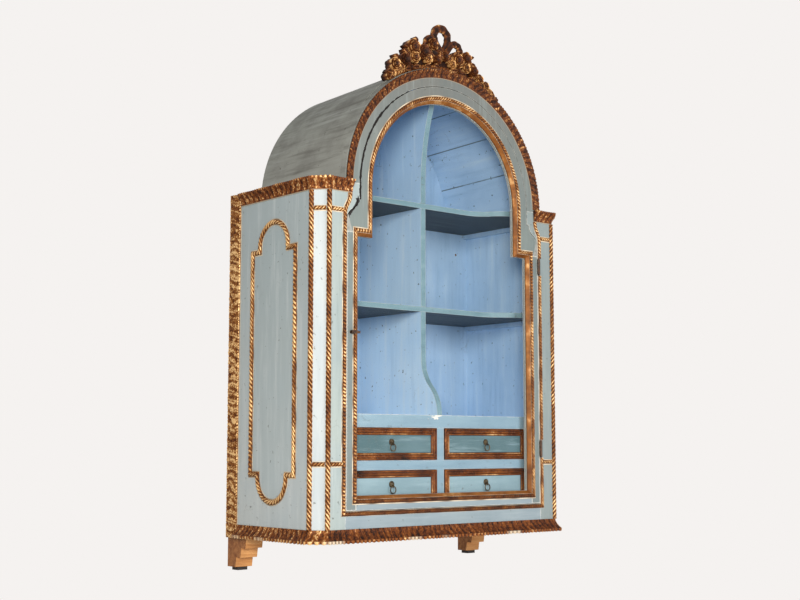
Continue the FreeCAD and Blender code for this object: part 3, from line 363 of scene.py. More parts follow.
def giltCarving(name, look, carved=True):
    material, tree, shader = newMaterial(name)
    place = addNode(tree, "TexCoord").outputs["Object"]
    mottle = addNode(tree, "TexNoise", {0: place, "Scale": 1000 / look["mottleMm"], "Detail": 4.0,
                                        "Roughness": 0.65})
    worn = addNode(tree, "TexNoise", {0: place, "Scale": 1000 / look["wornMm"], "Detail": 3.0})
    if carved:
        level = addNode(tree, "Attribute", {"attribute_name": "relief"}).outputs["Fac"]
    else:
        level = addNode(tree, "MapRange", {0: worn, "From Min": 0.3, "From Max": 0.7, "To Min": 0.48,
                                           "To Max": 0.7})
    for noise in (mottle, worn):
        shift = addNode(tree, "Math MULTIPLY_ADD", {0: noise, 1: look["stir"], 2: -look["stir"] / 2})
        level = addNode(tree, "Math ADD", {0: level, 1: shift})
    level = addNode(tree, "Clamp", {0: level})
    ramp = addNode(tree, "ValToRGB", {0: level})
    stops = ramp.color_ramp.elements
    spots = look["stops"]
    stops[0].position, stops[0].color = spots[0], linear(look["hollow"])
    stops[1].position, stops[1].color = spots[3], linear(look["bright"])
    for spot, tone in ((spots[1], "bole"), (spots[2], "leaf")):
        stop = stops.new(spot)
        stop.color = linear(look[tone])
    tone = ramp
    if carved:
        bare = addNode(tree, "Attribute", {"attribute_name": "gesso"}).outputs["Fac"]
        tone = addNode(tree, "Mix RGBA", {0: bare, 6: ramp, 7: linear(look["gesso"])})
    metal = addNode(tree, "MapRange", {0: level, "From Min": 0.45, "From Max": 0.95,
                                       "To Max": look["metal"]})
    rough = addNode(tree, "MapRange", {0: level, "To Min": look["rough"] + 0.2,
                                       "To Max": look["rough"] - 0.1})
    bump = addNode(tree, "Bump", {"Height": mottle, "Strength": 0.4, "Distance": 0.0014})
    fill(tree, shader, {"Base Color": tone, "Metallic": metal, "Roughness": rough, "Normal": bump,
                        "Specular IOR Level": 0.18})
    return material


# Forged iron: hammered and oiled, nearly black with brown rust in the low spots.
def forgedIron(name, look):
    material, tree, shader = newMaterial(name)
    place = addNode(tree, "TexCoord").outputs["Object"]
    rust = addNode(tree, "TexNoise", {0: place, "Scale": 1000 / 7, "Detail": 5.0, "Roughness": 0.7})
    share = addNode(tree, "MapRange", {0: rust, "From Min": 0.42, "From Max": 0.68})
    tone = addNode(tree, "Mix RGBA", {0: share, 6: linear(look["metal"]), 7: linear(look["rust"])})
    metal = addNode(tree, "MapRange", {0: share, "To Min": 0.75, "To Max": 0.2})
    rough = addNode(tree, "MapRange", {0: share, "To Min": 0.38, "To Max": 0.75})
    dent = addNode(tree, "TexVoronoi", {0: place, "Scale": 1000 / 6})
    bump = addNode(tree, "Bump", {"Height": dent, "Strength": 0.3, "Distance": 0.001})
    fill(tree, shader, {"Base Color": tone, "Metallic": metal, "Roughness": rough, "Normal": bump})
    return material


# Old blown window glass: clear and a little wavy, so it shows only in its gloss, more when seen at a slant.
def blownGlass(name):
    material, tree, shader = newMaterial(name)
    place = addNode(tree, "TexCoord").outputs["Object"]
    wave = addNode(tree, "TexNoise", {0: place, "Scale": 1000 / 90, "Detail": 1.0})
    bump = addNode(tree, "Bump", {"Height": wave, "Strength": 0.12, "Distance": 0.004})
    slant = addNode(tree, "LayerWeight", {"Normal": bump, "Blend": 0.5}).outputs["Facing"]
    share = addNode(tree, "MapRange", {0: slant, "From Min": 0.3, "From Max": 1.0, "To Min": 0.003,
                                       "To Max": 0.3})
    fill(tree, shader, {"Base Color": linear("#E6EEEC"), "Metallic": 1.0, "Roughness": 0.03, "Normal": bump,
                        "Alpha": share})
    return material


paintLook = {
    "colour": "#99A6A6", "cloud": "#A3AEA9", "streak": "#84918F", "rub": "#BAC3C1", "speck": "#5A5D57",
    "gesso": "#E0DDD3", "strokeMm": (20, 20, 260), "cloudMm": 190, "streakLevel": 0.55, "specks": 0.7,
    "edgeMm": 3.4, "edgeLevel": 0.95, "chips": (0.36, 0.56), "rough": 0.5,
}


# The same paint in other tones: ground, clouds, streaks and rubbed places.
def repaint(look, colour, cloud, streak, rub, **changes):
    return dict(look, colour=colour, cloud=cloud, streak=streak, rub=rub, **changes)


# The gap beside the door drawn wider as a near-black band: painted shadow.
seamShadowLook = {"from": (-345.4, 769), "to": (-310.4, 827), "arch": 303.3, "wide": 5.0, "colour": "#17130F"}
sideField = {"middle": panelMiddle, "half": 95, "tall": 287.5, "foot": 123.5, "head": 717, "lobe": 62,
             "colour": "#AFBCBF", "level": 0.6}
# The side panels are darker towards the top.
sideLook = repaint(paintLook, "#B9C4C8", "#C2C9C9", "#A3B0B3", "#D2D9DA", field=sideField,
                   grime={"from": 120, "to": 860, "colour": "#91A0A4", "level": 0.8})
stileLook = dict(paintLook, seam=seamShadowLook)
# The right stile: the same paint darker, as painted shade.
stileShade = repaint(paintLook, "#838F90", "#8D9794", "#717D7C", "#A2ABA9")
# Door stiles: wide, full gesso edges, partly bare gesso and partly a painted highlight along the rounded
# arrises.
doorLook = repaint(paintLook, "#6F7A7A", "#798482", "#5D6968", "#96A19E", edgeMm=6.0, edgeLevel=1.0,
                   chips=(0.2, 0.42))
# The arch head is darker towards the top.
headLook = repaint(paintLook, "#747F7E", "#7E8985", "#5D6968", "#96A19E", seam=seamShadowLook, edgeLevel=0.4,
                   grime={"from": 700, "to": 1200, "colour": "#6B6964", "level": 0.8})
# The canted corners: a paler paint, partly real and partly a painted highlight where the light meets them
# square.
cornerPaleAndSheenLook = repaint(paintLook, "#B6C0C4", "#BFC7C9", "#A4B0B4", "#CBD2D4", rough=0.42)
insideLook = repaint(paintLook, "#A0C2E2", "#B1D0EC", "#84A8C9", "#CAE0EF", speck="#3F4C58", gesso="#B9C9D3",
                     strokeMm=(24, 24, 320), specks=0.9, edgeLevel=0.3, rough=0.6)
# The divider's faces: a lighter copy of the inside blue as painted light, and darker towards the top as
# painted shade.
dividerLook = repaint(insideLook, "#BEE0FC", "#CCE8FD", "#A4C6E2", "#DEEDF6",
                      grime={"from": 400, "to": 1040, "colour": "#9EC0E0", "level": 1.0})
shelfLook = repaint(paintLook, "#66868F", "#73919A", "#53717A", "#8CA6AC", strokeMm=(260, 22, 22),
                    edgeLevel=0.4)
# Undersides: the same paint, darkened as painted shade where the light does not reach.
underShadeLook = repaint(shelfLook, "#18222A", "#1F2B34", "#11181E", "#283640", edgeLevel=0.1)
railLook = repaint(paintLook, "#86959C", "#909EA3", "#74858B", "#A7B2B7", strokeMm=(240, 18, 18))
frameLook = repaint(paintLook, "#7C98A8", "#87A2B0", "#6A8595", "#9DB3BF", strokeMm=(240, 18, 18),
                    knock={"at": (-14, -346, 281), "reach": 70, "squash": (1.0, 0.5, 3.2)})
# The upper row of drawer fronts is darker than the lower: painted shade.
drawerLook = repaint(paintLook, "#7C97A0", "#8CA6AE", "#647F88", "#9FB7BE", strokeMm=(200, 14, 14),
                     edgeLevel=0.2, grime={"from": 140, "to": 170, "colour": "#456267", "level": 1.0})
# The roof is thinly painted boards gone grey: streaks run along the boards, front to back, and it is lighter
# towards the foot.
roofLook = repaint(paintLook, "#6F706B", "#92968F", "#595751", "#A6AAA6", speck="#47433C", gesso="#B9B5A9",
                   strokeMm=(16, 240, 16), cloudMm=80, streakLevel=0.85, edgeLevel=0.3, rough=0.66,
                   grime={"from": 1100, "to": 900, "colour": "#9C9D97", "level": 0.95})
roofInside = dict(insideLook, strokeMm=(24, 300, 24), joints={
    "staves": 9, "radius": 335, "wide": 2.2, "colour": "#39454F"})
backPine = {"grainMm": (14, 14, 420), "pale": "#A88862", "dark": "#7A5B3B", "dirt": "#57432F", "rough": 0.68}
boxPine = {"grainMm": (14, 360, 14), "pale": "#B99A70", "dark": "#8F6F49", "dirt": "#6B5239", "rough": 0.68}
# Brackets: stained pine; their side faces get a darker copy of it as painted shade.
bracketPine = {"grainMm": (260, 9, 9), "pale": "#D29A5E", "dark": "#A96C34", "dirt": "#6E4322", "rough": 0.6}
bracketSideShade = dict(bracketPine, pale="#B47A48", dark="#7E4A25", dirt="#54301A")
# Pads: oiled leather, nearly black, with a fine pebbled grain.
padLeather = {"grainMm": (5, 5, 5), "pale": "#2A211B", "dark": "#1B1512", "dirt": "#120E0C", "rough": 0.6}

rearFace = {"by": "face", "way": (0, 1, 0)}
sideFace = {"by": "face", "way": (1, 0, 0), "both": True}
bareRear = (pineCoat, backPine, rearFace)   # edges against the wall and inside the plinth, never painted
# faces that look down get the dark underside paint: painted shade
shadedUnder = (caseinCoat, underShadeLook, {"by": "face", "way": (0, 0, -1)})
# Each finish: a name, the first coat and its look, then coats that lie over parts of it.
recipes = {
    "sidePanel": ("caseinPaintSidePanels", caseinCoat, sideLook, [
        (caseinCoat, insideLook, {"by": "X", "limit": innerX}),
        (pineCoat, backPine, {"by": "X", "limit": innerX, "below": plinthTop}), bareRear]),
    "corner": ("caseinPaintPaleCorner", caseinCoat, cornerPaleAndSheenLook, [bareRear]),
    "stile": ("caseinPaintStiles", caseinCoat, stileLook),
    "stileShade": ("caseinPaintStileShade", caseinCoat, stileShade),
    "door": ("caseinPaintDoor", caseinCoat, doorLook),
    "head": ("caseinPaintArch", caseinCoat, dict(roofLook, edgeLevel=0.0), [
        (caseinCoat, headLook, {"by": "radius", "slope": 0.0, "limit": 351.2})]),
    "roof": ("limewashRoofBoards", caseinCoat, roofLook, [
        (caseinCoat, roofInside, {"by": "radius", "slope": roofSlope, "limit": 341.0}), bareRear]),
    "back": ("planedPineBack", caseinCoat, insideLook, [
        (pineCoat, backPine, {"by": "Y", "limit": 11.5}),
        (pineCoat, backPine, {"by": "Y", "limit": 40, "below": plinthTop})]),
    "upperShelf": ("caseinPaintUpperShelf", caseinCoat, shelfLook, [
        (caseinCoat, roofLook, {"by": "X", "limit": 347, "outside": True}), shadedUnder, bareRear]),
    "shelf": ("caseinPaintShelves", caseinCoat, shelfLook, [shadedUnder]),
    "divider": ("caseinPaintDivider", caseinCoat, shelfLook, [(caseinCoat, dividerLook, sideFace)]),
    "inside": ("caseinPaintInside", caseinCoat, insideLook),
    "rail": ("caseinPaintRails", caseinCoat, railLook, [bareRear]),
    "doorRail": ("caseinPaintDoorRail", caseinCoat, railLook),
    "drawerFrame": ("caseinPaintDrawerFrame", caseinCoat, frameLook),
    "drawer": ("caseinPaintDrawers", caseinCoat, drawerLook),
    "plain": ("planedPineHidden", pineCoat, backPine),
    "box": ("planedPineDrawers", pineCoat, boxPine),
    "bracket": ("stainedPineBrackets", pineCoat, bracketPine, [(pineCoat, bracketSideShade, sideFace)]),
    "pad": ("oiledLeatherPads", pineCoat, padLeather),
}
woods = {key: finishWood(*recipe) for key, recipe in recipes.items()}
gilt = giltCarving("goldLeafRopes", giltLook)
wornLook = dict(giltLook, bole="#5A2D10", leaf="#8A5020", bright="#E6BC82",
                stops=(0.09, 0.4, 0.72, 0.97), mottleMm=6.0)
giltWorn = giltCarving("goldLeafWornCarving", wornLook)
darkLook = dict(giltLook, bole="#4A240D", leaf="#7A451B", bright="#DDAE70",
                stops=(0.12, 0.48, 0.8, 1.0), mottleMm=6.0)
giltDark = giltCarving("goldLeafSmokedCarving", darkLook)
plainLook = dict(giltLook, stops=(0.05, 0.35, 0.68, 1.0), mottleMm=9.0, wornMm=40.0, stir=0.4)
giltPlain = giltCarving("goldLeafReveal", plainLook, carved=False)
iron = forgedIron("forgedIron", {"metal": "#2B211B", "rust": "#6A4A33"})
# Drawer pulls: cast brass gone brown-black, rubbed a little where fingers touch.
pullBrass = forgedIron("castBrassTarnished", {"metal": "#3A3022", "rust": "#6B5C3E"})
glass = blownGlass("blownWindowGlass")

nodeFinish = {
    "side_panel_left": "sidePanel", "side_panel_right": "sidePanel", "corner_posts": "corner",
    "face_stile_left": "stile", "face_stile_right": "stileShade", "face_bottom_rail": "rail",
    "face_arch_head": "head", "door_stile_left": "door", "door_stile_right": "door",
    "door_bottom_rail": "doorRail", "door_arch_head": "head", "glazing_beads": "door", "roof_staves": "roof",
    "upper_shelf": "upperShelf", "lower_shelf": "shelf", "divider": "divider", "shelf_cleats": "inside",
    "display_floor": "inside", "drawer_face_frame": "drawerFrame", "back_planks": "back",
    "drawer_partitions": "plain", "drawer_runners": "plain", "bottom_board": "plain", "brackets": "bracket",
    "bracket_pads": "pad",
}


def paintNode(name, material):
    thing = nodes[name]
    if not thing.material_slots:
        thing.data.materials.append(None)
    for slot in thing.material_slots:
        slot.material = material


for name in nodes:
    if name in nodeFinish:
        paintNode(name, woods[nodeFinish[name]])
    elif name.endswith("_box"):
        paintNode(name, woods["box"])
    elif name.endswith("_front"):
        paintNode(name, woods["drawer"])
    elif name.startswith("hinge") or name == "turn_catch":
        paintNode(name, iron)
    elif name == "door_glass":
        paintNode(name, glass)
    else:
        paintNode(name, giltPlain)
print("finishes on the CAD nodes")


# Carved pieces are closed skins of four-sided faces, gathered in a pile before the mesh is made.
def newPile():
    return {"points": [], "relief": [], "gesso": [], "faces": [], "count": 0}


def fullTurn(parts):
    return np.linspace(0, 2 * math.pi, parts, endpoint=False)


def pointGrid(x, y, z):
    return np.stack(np.broadcast_arrays(x, y, z), axis=-1)


# Columns of values side by side; a bare number fills a column of its own.
def columns(rows, *parts):
    wide = [np.shape(part)[-1] if np.ndim(part) else 1 for part in parts]
    return np.concatenate([np.broadcast_to(part, (rows, count)) for part, count in zip(parts, wide)], axis=1)


# Each row of points is a ring round the piece. The ends are capped unless the last row joins the first.
def addSkin(pile, points, relief, gesso=0.0, closed=False):
    rows, cols = points.shape[:2]
    index = np.arange(rows * cols).reshape(rows, cols) + pile["count"]
    ring = np.concatenate([index, index[:, :1]], axis=1)
    if closed:
        ring = np.concatenate([ring, ring[:1]])
    quads = np.stack([ring[:-1, :-1], ring[:-1, 1:], ring[1:, 1:], ring[1:, :-1]], axis=-1).reshape(-1, 4)
    pile["faces"] += quads.tolist()
    if not closed:
        pile["faces"] += [index[0].tolist(), index[-1][::-1].tolist()]
    pile["points"].append(points.reshape(-1, 3))
    for label, values in (("relief", relief), ("gesso", gesso)):
        pile[label].append(np.broadcast_to(values, (rows, cols)).reshape(-1))
    pile["count"] += rows * cols


def mirrorPile(pile):
    count = pile["count"]
    pile["faces"] += [[i + count for i in reversed(face)] for face in pile["faces"]]
    pile["points"] += [p * np.array([-1.0, 1.0, 1.0]) for p in pile["points"]]
    for label in ("relief", "gesso"):
        pile[label] *= 2
    pile["count"] *= 2


def makePiece(name, pile, body, material, replaced):
    mesh = bpy.data.meshes.new(name)
    mesh.from_pydata((np.concatenate(pile["points"]) / 1000).tolist(), [], pile["faces"])
    for label in ("relief", "gesso"):
        layer = mesh.attributes.new(label, "FLOAT", "POINT")
        layer.data.foreach_set("value", np.concatenate(pile[label]).astype(np.float32))
    shell = bmesh.new()
    shell.from_mesh(mesh)
    bmesh.ops.recalc_face_normals(shell, faces=shell.faces)
    shell.to_mesh(mesh)
    shell.free()
    mesh.shade_smooth()
    mesh.set_sharp_from_angle(angle=math.radians(55))
    mesh.materials.append(material)
    piece = bpy.data.objects.new(name, mesh)
    bpy.context.scene.collection.objects.link(piece)
    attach(piece, body)
    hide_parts(*replaced)
    print("made", name, len(mesh.polygons), "faces")


# A run is a straight length with mitred ends, or an arc, drawn in a plane's own two directions.
def lineRuns(points, closed=False):
    count = len(points)
    last = count if closed else count - 1
    ahead = points[1:] + points[:1]
    heading = [math.atan2(b[1] - a[1], b[0] - a[0]) for a, b in zip(points, ahead)]

    def turn(i):
        return (heading[i % count] - heading[i - 1] + math.pi) % (2 * math.pi) - math.pi

    return [("line", points[i], ahead[i], turn(i) if closed or i else 0.0,
             turn(i + 1) if closed or i < last - 1 else 0.0) for i in range(last)]


def runLength(run):
    if run[0] == "line":
        return math.dist(run[1], run[2])
    return run[2] * math.radians(abs(run[4] - run[3]))


# Sweeps a section along a run. section(s) gives side, height, relief and gesso for each station.
def sweepRun(pile, run, section, plane, step, start=0.0):
    length = runLength(run)
    stations = np.linspace(0, length, max(2, int(round(length / step)) + 1))[:, None]
    side, height, relief, gesso = section(stations + start)
    if run[0] == "line":
        a, b = np.array(run[1], float), np.array(run[2], float)
        along = (b - a) / length
        left = np.array([-along[1], along[0]])
        slopeA, slopeB = math.tan(run[3] / 2), math.tan(run[4] / 2)
        reach = side * slopeA + (length - side * (slopeA + slopeB)) * stations / length
        u = a[0] + along[0] * reach + left[0] * side
        v = a[1] + along[1] * reach + left[1] * side
    else:
        turn = 1 if run[4] > run[3] else -1
        angle = math.radians(run[3]) + turn * stations / run[2]
        u = run[1][0] + np.cos(angle) * (run[2] - turn * side)
        v = run[1][1] + np.sin(angle) * (run[2] - turn * side)
    addSkin(pile, pointGrid(*plane(u, v, height)), relief, gesso)
    return start + length


def frontPlane(u, v, h):
    return u, -frontY - h, v


def sidePlane(u, v, h):
    return -sideX - h, -panelMiddle - u, v


def cantPlane(u, v, h):
    k = math.sqrt(0.5)
    return -sideX + k * (u - h), -cantY - k * (u + h), v


def planAt(level):
    return lambda u, v, h: (u, v, level + h)


# Carved rope: strands laid round a half-round bead, with a thin gesso line left at its foot.
ropeLook = {"radius": 5.5, "lay": 9.0, "slant": 15.0, "depth": 0.34, "line": (1.5, 2.3), "shine": 0.1,
            "dim": 1.0, "around": 11, "step": 1.4}
thickRope = dict(ropeLook, radius=6.8, lay=12.0, slant=24.0, line=(2.3, 2.3), shine=0.05, around=13, step=1.6)
shadedLowRope = dict(ropeLook, line=(0.6, 0.4), dim=0.6)   # along the foot the rope is dimmed and its gesso lines narrowed, as painted shade


def ropeSection(stations, look, full=False):
    r, around = look["radius"], look["around"]
    turns = np.linspace(0, math.pi, around)
    if full:
        turns = fullTurn(2 * around)
    twist = turns[None, :] / math.pi * look["slant"] / look["lay"]
    strand = np.abs(np.sin(math.pi * (stations / look["lay"] + twist))) ** 0.75
    radius = r * (1 - look["depth"] * (1 - strand))
    side, height = radius * np.cos(turns), radius * np.sin(turns)
    lift = 1.0 if full else 0.55 + 0.45 * np.sin(turns)[None, :]
    uneven = 1 + 0.16 * np.sin(stations / 53.0) + 0.1 * np.sin(stations / 17.0)
    relief = (look["shine"] + 0.8 * strand ** 1.3) * lift * uneven * look["dim"]
    if full:
        return side, height, relief, np.zeros_like(relief)
    # foot: the gesso line on each side of the rope
    rows, foot = len(stations), r + 0.1
    inner, outer = (r + wide for wide in look["line"])
    side = columns(rows, inner, inner, foot, side, -foot, -outer, -outer)
    height = columns(rows, 0.0, 0.35, 0.4, np.maximum(height, 0.3), 0.4, 0.35, 0.0)
    relief = columns(rows, 0.3, 0.3, 0.3, relief, 0.3, 0.3, 0.3)
    bare = np.zeros_like(relief)
    patches = 0.7 + 0.5 * np.sin(stations / 41.0) * np.sin(stations / 13.0)
    bare[:, [0, 1, 2, -3, -2, -1]] = np.clip(patches, 0, 1)
    return side, height, relief, bare


def layRope(pile, runs, plane, look=ropeLook):
    at = 0.0
    for run in runs:
        at = sweepRun(pile, run, lambda s: ropeSection(s, look), plane, look["step"], at)


cornerRope = {"from": 0, "to": 840, "crossAt": (159, 794), "start": 7.1, "ends": (-358.8, -357.0)}


def cornerRopes():
    pile = newPile()
    look = cornerRope
    low, high = look["from"], look["to"]
    stations = np.linspace(low, high, int((high - low) / thickRope["step"]))[:, None]
    for x, y in ((-sideX, -cantY), (-cantX, -frontY)):
        side, height, relief, bare = ropeSection(stations, thickRope, full=True)
        addSkin(pile, pointGrid(x + side, y + height, stations), relief, bare)
    start = look["start"]
    for z, end in zip(look["crossAt"], look["ends"]):
        layRope(pile, lineRuns([(start, z), ((sideX - cantX) * math.sqrt(2) - start, z)]), cantPlane)
        layRope(pile, lineRuns([(start - cantX, z), (end, z)]), frontPlane)
    mirrorPile(pile)
    makePiece("cornerRopes", pile, "case", gilt, ["corner_ropes"])


panelRope = {"half": 95, "lobe": 62, "shoulders": (131, 706), "straights": (7.5, 11)}


def sidePanelRopes():
    pile = newPile()
    w, r = panelRope["half"], panelRope["lobe"]
    low, high = panelRope["shoulders"]
    foot, head = low - panelRope["straights"][0], high + panelRope["straights"][1]
    right = [(r, foot), (r, low), (w, low), (w, high), (r, high), (r, head)]
    left = [(-x, z) for x, z in reversed(right)]
    rope = dict(thickRope, shine=0.3)
    layRope(pile, lineRuns(right) + [("arc", (0, head), r, 0, 180)], sidePlane, rope)
    layRope(pile, lineRuns(left) + [("arc", (0, foot), r, 180, 360)], sidePlane, rope)
    mirrorPile(pile)
    makePiece("sidePanelRopes", pile, "case", gilt, ["side_panel_ropes"])


openingRopeLook = {"x": 353, "low": 36.9, "turn": 782, "top": 840, "topX": 335.9,
                   "hinges": ((171, 221), (686, 736))}


def openingRope():
    pile = newPile()
    look = openingRopeLook
    x, low, turn, top, topX = (look[key] for key in ("x", "low", "turn", "top", "topX"))
    across, rise = x - topX, top - turn
    radius = (across ** 2 + rise ** 2) / (4 * across)
    sweep = math.degrees(math.asin(rise / 2 / radius))
    curve = [("arc", (x - radius, turn), radius, 0, sweep),
             ("arc", (topX + radius, top), radius, 180 + sweep, 180)]
    layRope(pile, curve, frontPlane)
    flipped = [("arc", (radius - x, turn), radius, 180, 180 - sweep),
               ("arc", (-topX - radius, top), radius, -sweep, 0)]
    layRope(pile, flipped, frontPlane, dict(ropeLook, line=ropeLook["line"][::-1]))
    (a, b), (c, d) = look["hinges"]
    path = [(-x, turn), (-x, low), (x, low), (x, a)]
    for run, rope in zip(lineRuns(path), (ropeLook, shadedLowRope, ropeLook)):
        layRope(pile, [run], frontPlane, rope)
    for ends in ((b, c), (d, turn)):
        layRope(pile, lineRuns([(x, z) for z in ends]), frontPlane)
    makePiece("openingRope", pile, "case", gilt, ["opening_rope"])


doorRopeLook = {"x": 318.9, "low": 66.5, "shoulder": 747.5, "arch": 271.4}


def doorRope():
    pile = newPile()
    look = doorRopeLook
    x, low, shoulder, arch = (look[key] for key in ("x", "low", "shoulder", "arch"))
    right = [(x, low), (x, shoulder), (arch, shoulder), (arch, archSpring)]
    path = [(-across, up) for across, up in reversed(right)] + right
    for index, run in enumerate(lineRuns(path) + [("arc", (0, archSpring), arch, 0, 180)]):
        layRope(pile, [run], frontPlane, dict(shadedLowRope if index == 3 else ropeLook, line=(0.3, 2.3)))
    makePiece("doorRope", pile, "door", gilt, ["door_rope"])


# Carved by eye, so no repeat is quite even.
def wander(s):
    return s + 2.8 * np.sin(s / 29.0) + 1.8 * np.sin(s / 12.7 + 1.3)


# Leaves that lean either way, with small curls cut between them.
def foliage(s, t, pitch):
    k = np.floor(s / pitch)
    u = (s / pitch) % 1.0 - 0.5 + 0.7 * np.sin(k * 12.99) * (t - 0.4)
    wide = 0.46 * np.sqrt(np.clip(1 - 0.7 * t, 0, 1)) * (1 + 0.25 * np.sin(15 * t + 3 * k))
    leaf = np.clip(1 - (np.abs(u) / wide) ** 2, 0, 1) - 0.5 * np.exp(-(u / 0.07) ** 2)
    sway = np.sin(2 * math.pi * (s / 8.7 + 0.9 * np.sin(2 * math.pi * s / 37.0 + 3 * t)))
    curl = sway * np.sin(2 * math.pi * (1.9 * t + 0.6 * np.sin(2 * math.pi * s / 23.0)))
    return np.clip(0.5 * leaf + 0.55 * (0.5 + 0.65 * curl), 0, 1)


def tongueRow(s, pitch, slant=0.0):
    return np.abs(np.sin(math.pi * (s + slant) / pitch)) ** 0.6


# Sweeps a moulding along its path. Each run's gold is dimmed or lifted by its own gain and lift.
def sweepPath(pile, path, section, look, golds):
    at = 0.0
    for run, (gain, lift) in zip(lineRuns(path), golds):
        first = len(pile["relief"])
        at = sweepRun(pile, run, section, planAt(look["level"]), look["step"], at)
        pile["relief"][first] = np.clip(pile["relief"][first] * gain + lift, 0, 1.2)


# Points along a profile of straight lines, no further apart than the step
def alongProfile(corners, step):
    points = [np.array(corners[0], float)]
    for a, b in zip(corners, corners[1:]):
        a, b = np.array(a, float), np.array(b, float)
        parts = max(1, int(math.ceil(math.dist(a, b) / step)))
        points += [a + (b - a) * k / parts for k in range(1, parts + 1)]
    return np.array(points)


corniceLook = {"level": 840, "end": -330.4, "leafPitch": 21, "tonguePitch": 8.5, "carve": 3.6, "step": 1.4}


def cornice():
    look = corniceLook
    hollow = [(4 + 12 * k ** 1.7, 4 + 23 * k) for k in np.linspace(0, 1, 13)]
    curve = np.array([(4, 0), (4, 2)] + hollow + [(16, 29.3), (16, 31.6), (16, 34)])
    out, up = curve.T[:, None]

    def section(s):
        w = wander(s)
        t = np.clip((up - 4) / 23, 0, 1)
        leaf = foliage(w, t, look["leafPitch"])
        tongue = tongueRow(w, look["tonguePitch"], 1.5 * np.sin(s / 23.0))
        tongue = tongue * (0.75 + 0.25 * np.sin(s / 13.0))
        h = np.where(up < 3, 0.35, np.where(up > 27.5, tongue, leaf))
        side = -(out - look["carve"] * (1 - h) * np.where(up < 3, 0.3, 1.0))
        height = np.where(up > 33, up - 1.6 * (1 - tongue), up)
        relief = columns(len(s), 0, 0.08 + 0.85 * h, 0.2)
        bare = np.zeros_like(relief)
        bare[:, :2] = 0.75
        return columns(len(s), 0, side, 0), columns(len(s), 0, height, 32), relief, bare

    pile = newPile()
    path = [(-sideX, -stripFront), (-sideX, -cantY), (-cantX, -frontY), (look["end"], -frontY)]
    # the canted corner's gold is lifted, a painted highlight where the light meets it square
    sweepPath(pile, path, section, look, ((1.0, 0.0), (0.85, 0.2), (1.0, 0.0)))
    mirrorPile(pile)
    makePiece("corniceCarved", pile, "case", giltWorn, ["cornice"])


baseLook = {"level": 0, "leafPitch": 19, "tipPitch": 12.5, "carve": 3.6, "step": 1.4, "tip": 4.0}


def baseMoulding():
    look = baseLook
    hollow = [(4 + 15 * k ** 1.8, -25 * k) for k in np.linspace(0, 1, 13)]
    curve = np.array(hollow + [(21, -26.0), (21, -28.5), (21, -31), (20, -34)])
    out, up = curve.T[:, None]

    def section(s):
        w = wander(s)
        t = np.clip(-up / 25, 0, 1)
        leaf = foliage(w, t, look["leafPitch"])
        tip = tongueRow(w, look["tipPitch"], slant=2.0 * np.sin(s / 61.0))
        low = up < -25.5
        h = np.where(low, tip, leaf)
        side = -(out - look["carve"] * (1 - h))
        height = np.where(up < -30, up + look["tip"] * (1 - tip), up)
        # leaf tips worn to the gesso in stretches
        wear = np.clip(np.sin(s / 47.0) + 0.9 * np.sin(s / 19.3 + 1.0) - 0.75, 0, 0.8)
        bare = np.where(low, wear * tip, 0.0)
        side, height = columns(len(s), 0, side, 0), columns(len(s), 0, height, -30)
        return side, height, columns(len(s), 0.3, 0.1 + 0.82 * h, 0.1), columns(len(s), 0.7, bare, 0)

    pile = newPile()
    right = [(cantX, -frontY), (sideX, -cantY), (sideX, -stripFront)]
    path = [(-x, y) for x, y in reversed(right)] + right
    # the cants' gold is lifted, a painted highlight where the light meets them square; the front run is
    # dimmed
    golds = ((0.95, 0.04), (0.85, 0.24), (0.75, 0.0), (0.85, 0.24), (0.95, 0.04))
    sweepPath(pile, path, section, look, golds)
    makePiece("baseMouldingCarved", pile, "case", giltWorn, ["base_moulding"])


archLook = {"radius": 326.4, "pitch": 9.5, "leafPitch": 19, "carve": 3.0, "step": 1.3, "from": 1.1}


def archMoulding():
    look = archLook
    curve = alongProfile([(0, 1), (11.25, 4), (18, 9)], 1.8)
    curve = np.concatenate([curve, np.array([(20, 9), (22, 9), (23.8, 8.2), (25, 6)])])
    out, proud = curve.T[:, None]

    def section(s):
        w = wander(s)
        leaf = foliage(w + 0.4 * out, np.clip((out - 3) / 22, 0, 1), look["leafPitch"])
        stroke = tongueRow(w + 0.5 * out, look["pitch"])
        h = np.where(out < 3, 0.5, np.where(out > 19, 0.5 * (stroke + leaf), leaf))
        height = np.maximum(proud - look["carve"] * (1 - h) * np.clip(proud / 6, 0.2, 1), 0.4)
        side = -(out - np.where(out > 22, 2.2 * (1 - stroke), 0))
        relief = columns(len(s), 0.2, 0.08 + 0.85 * h, 0.2)
        bare = np.zeros_like(relief)
        bare[:, :2] = 0.6
        return columns(len(s), 0, side, -23), columns(len(s), 0, height, 0), relief, bare

    pile = newPile()
    # the ring starts on top of the front cornice
    run = ("arc", (0, archSpring), look["radius"], look["from"], 180 - look["from"])
    sweepRun(pile, run, section, frontPlane, look["step"])
    makePiece("archMouldingCarved", pile, "case", giltDark, ["arch_moulding"])


stripLook = {"low": -34, "high": 874, "half": 18.8, "leafPitch": 22, "rimPitch": 7.0, "step": 1.8,
             "carve": 3.2}


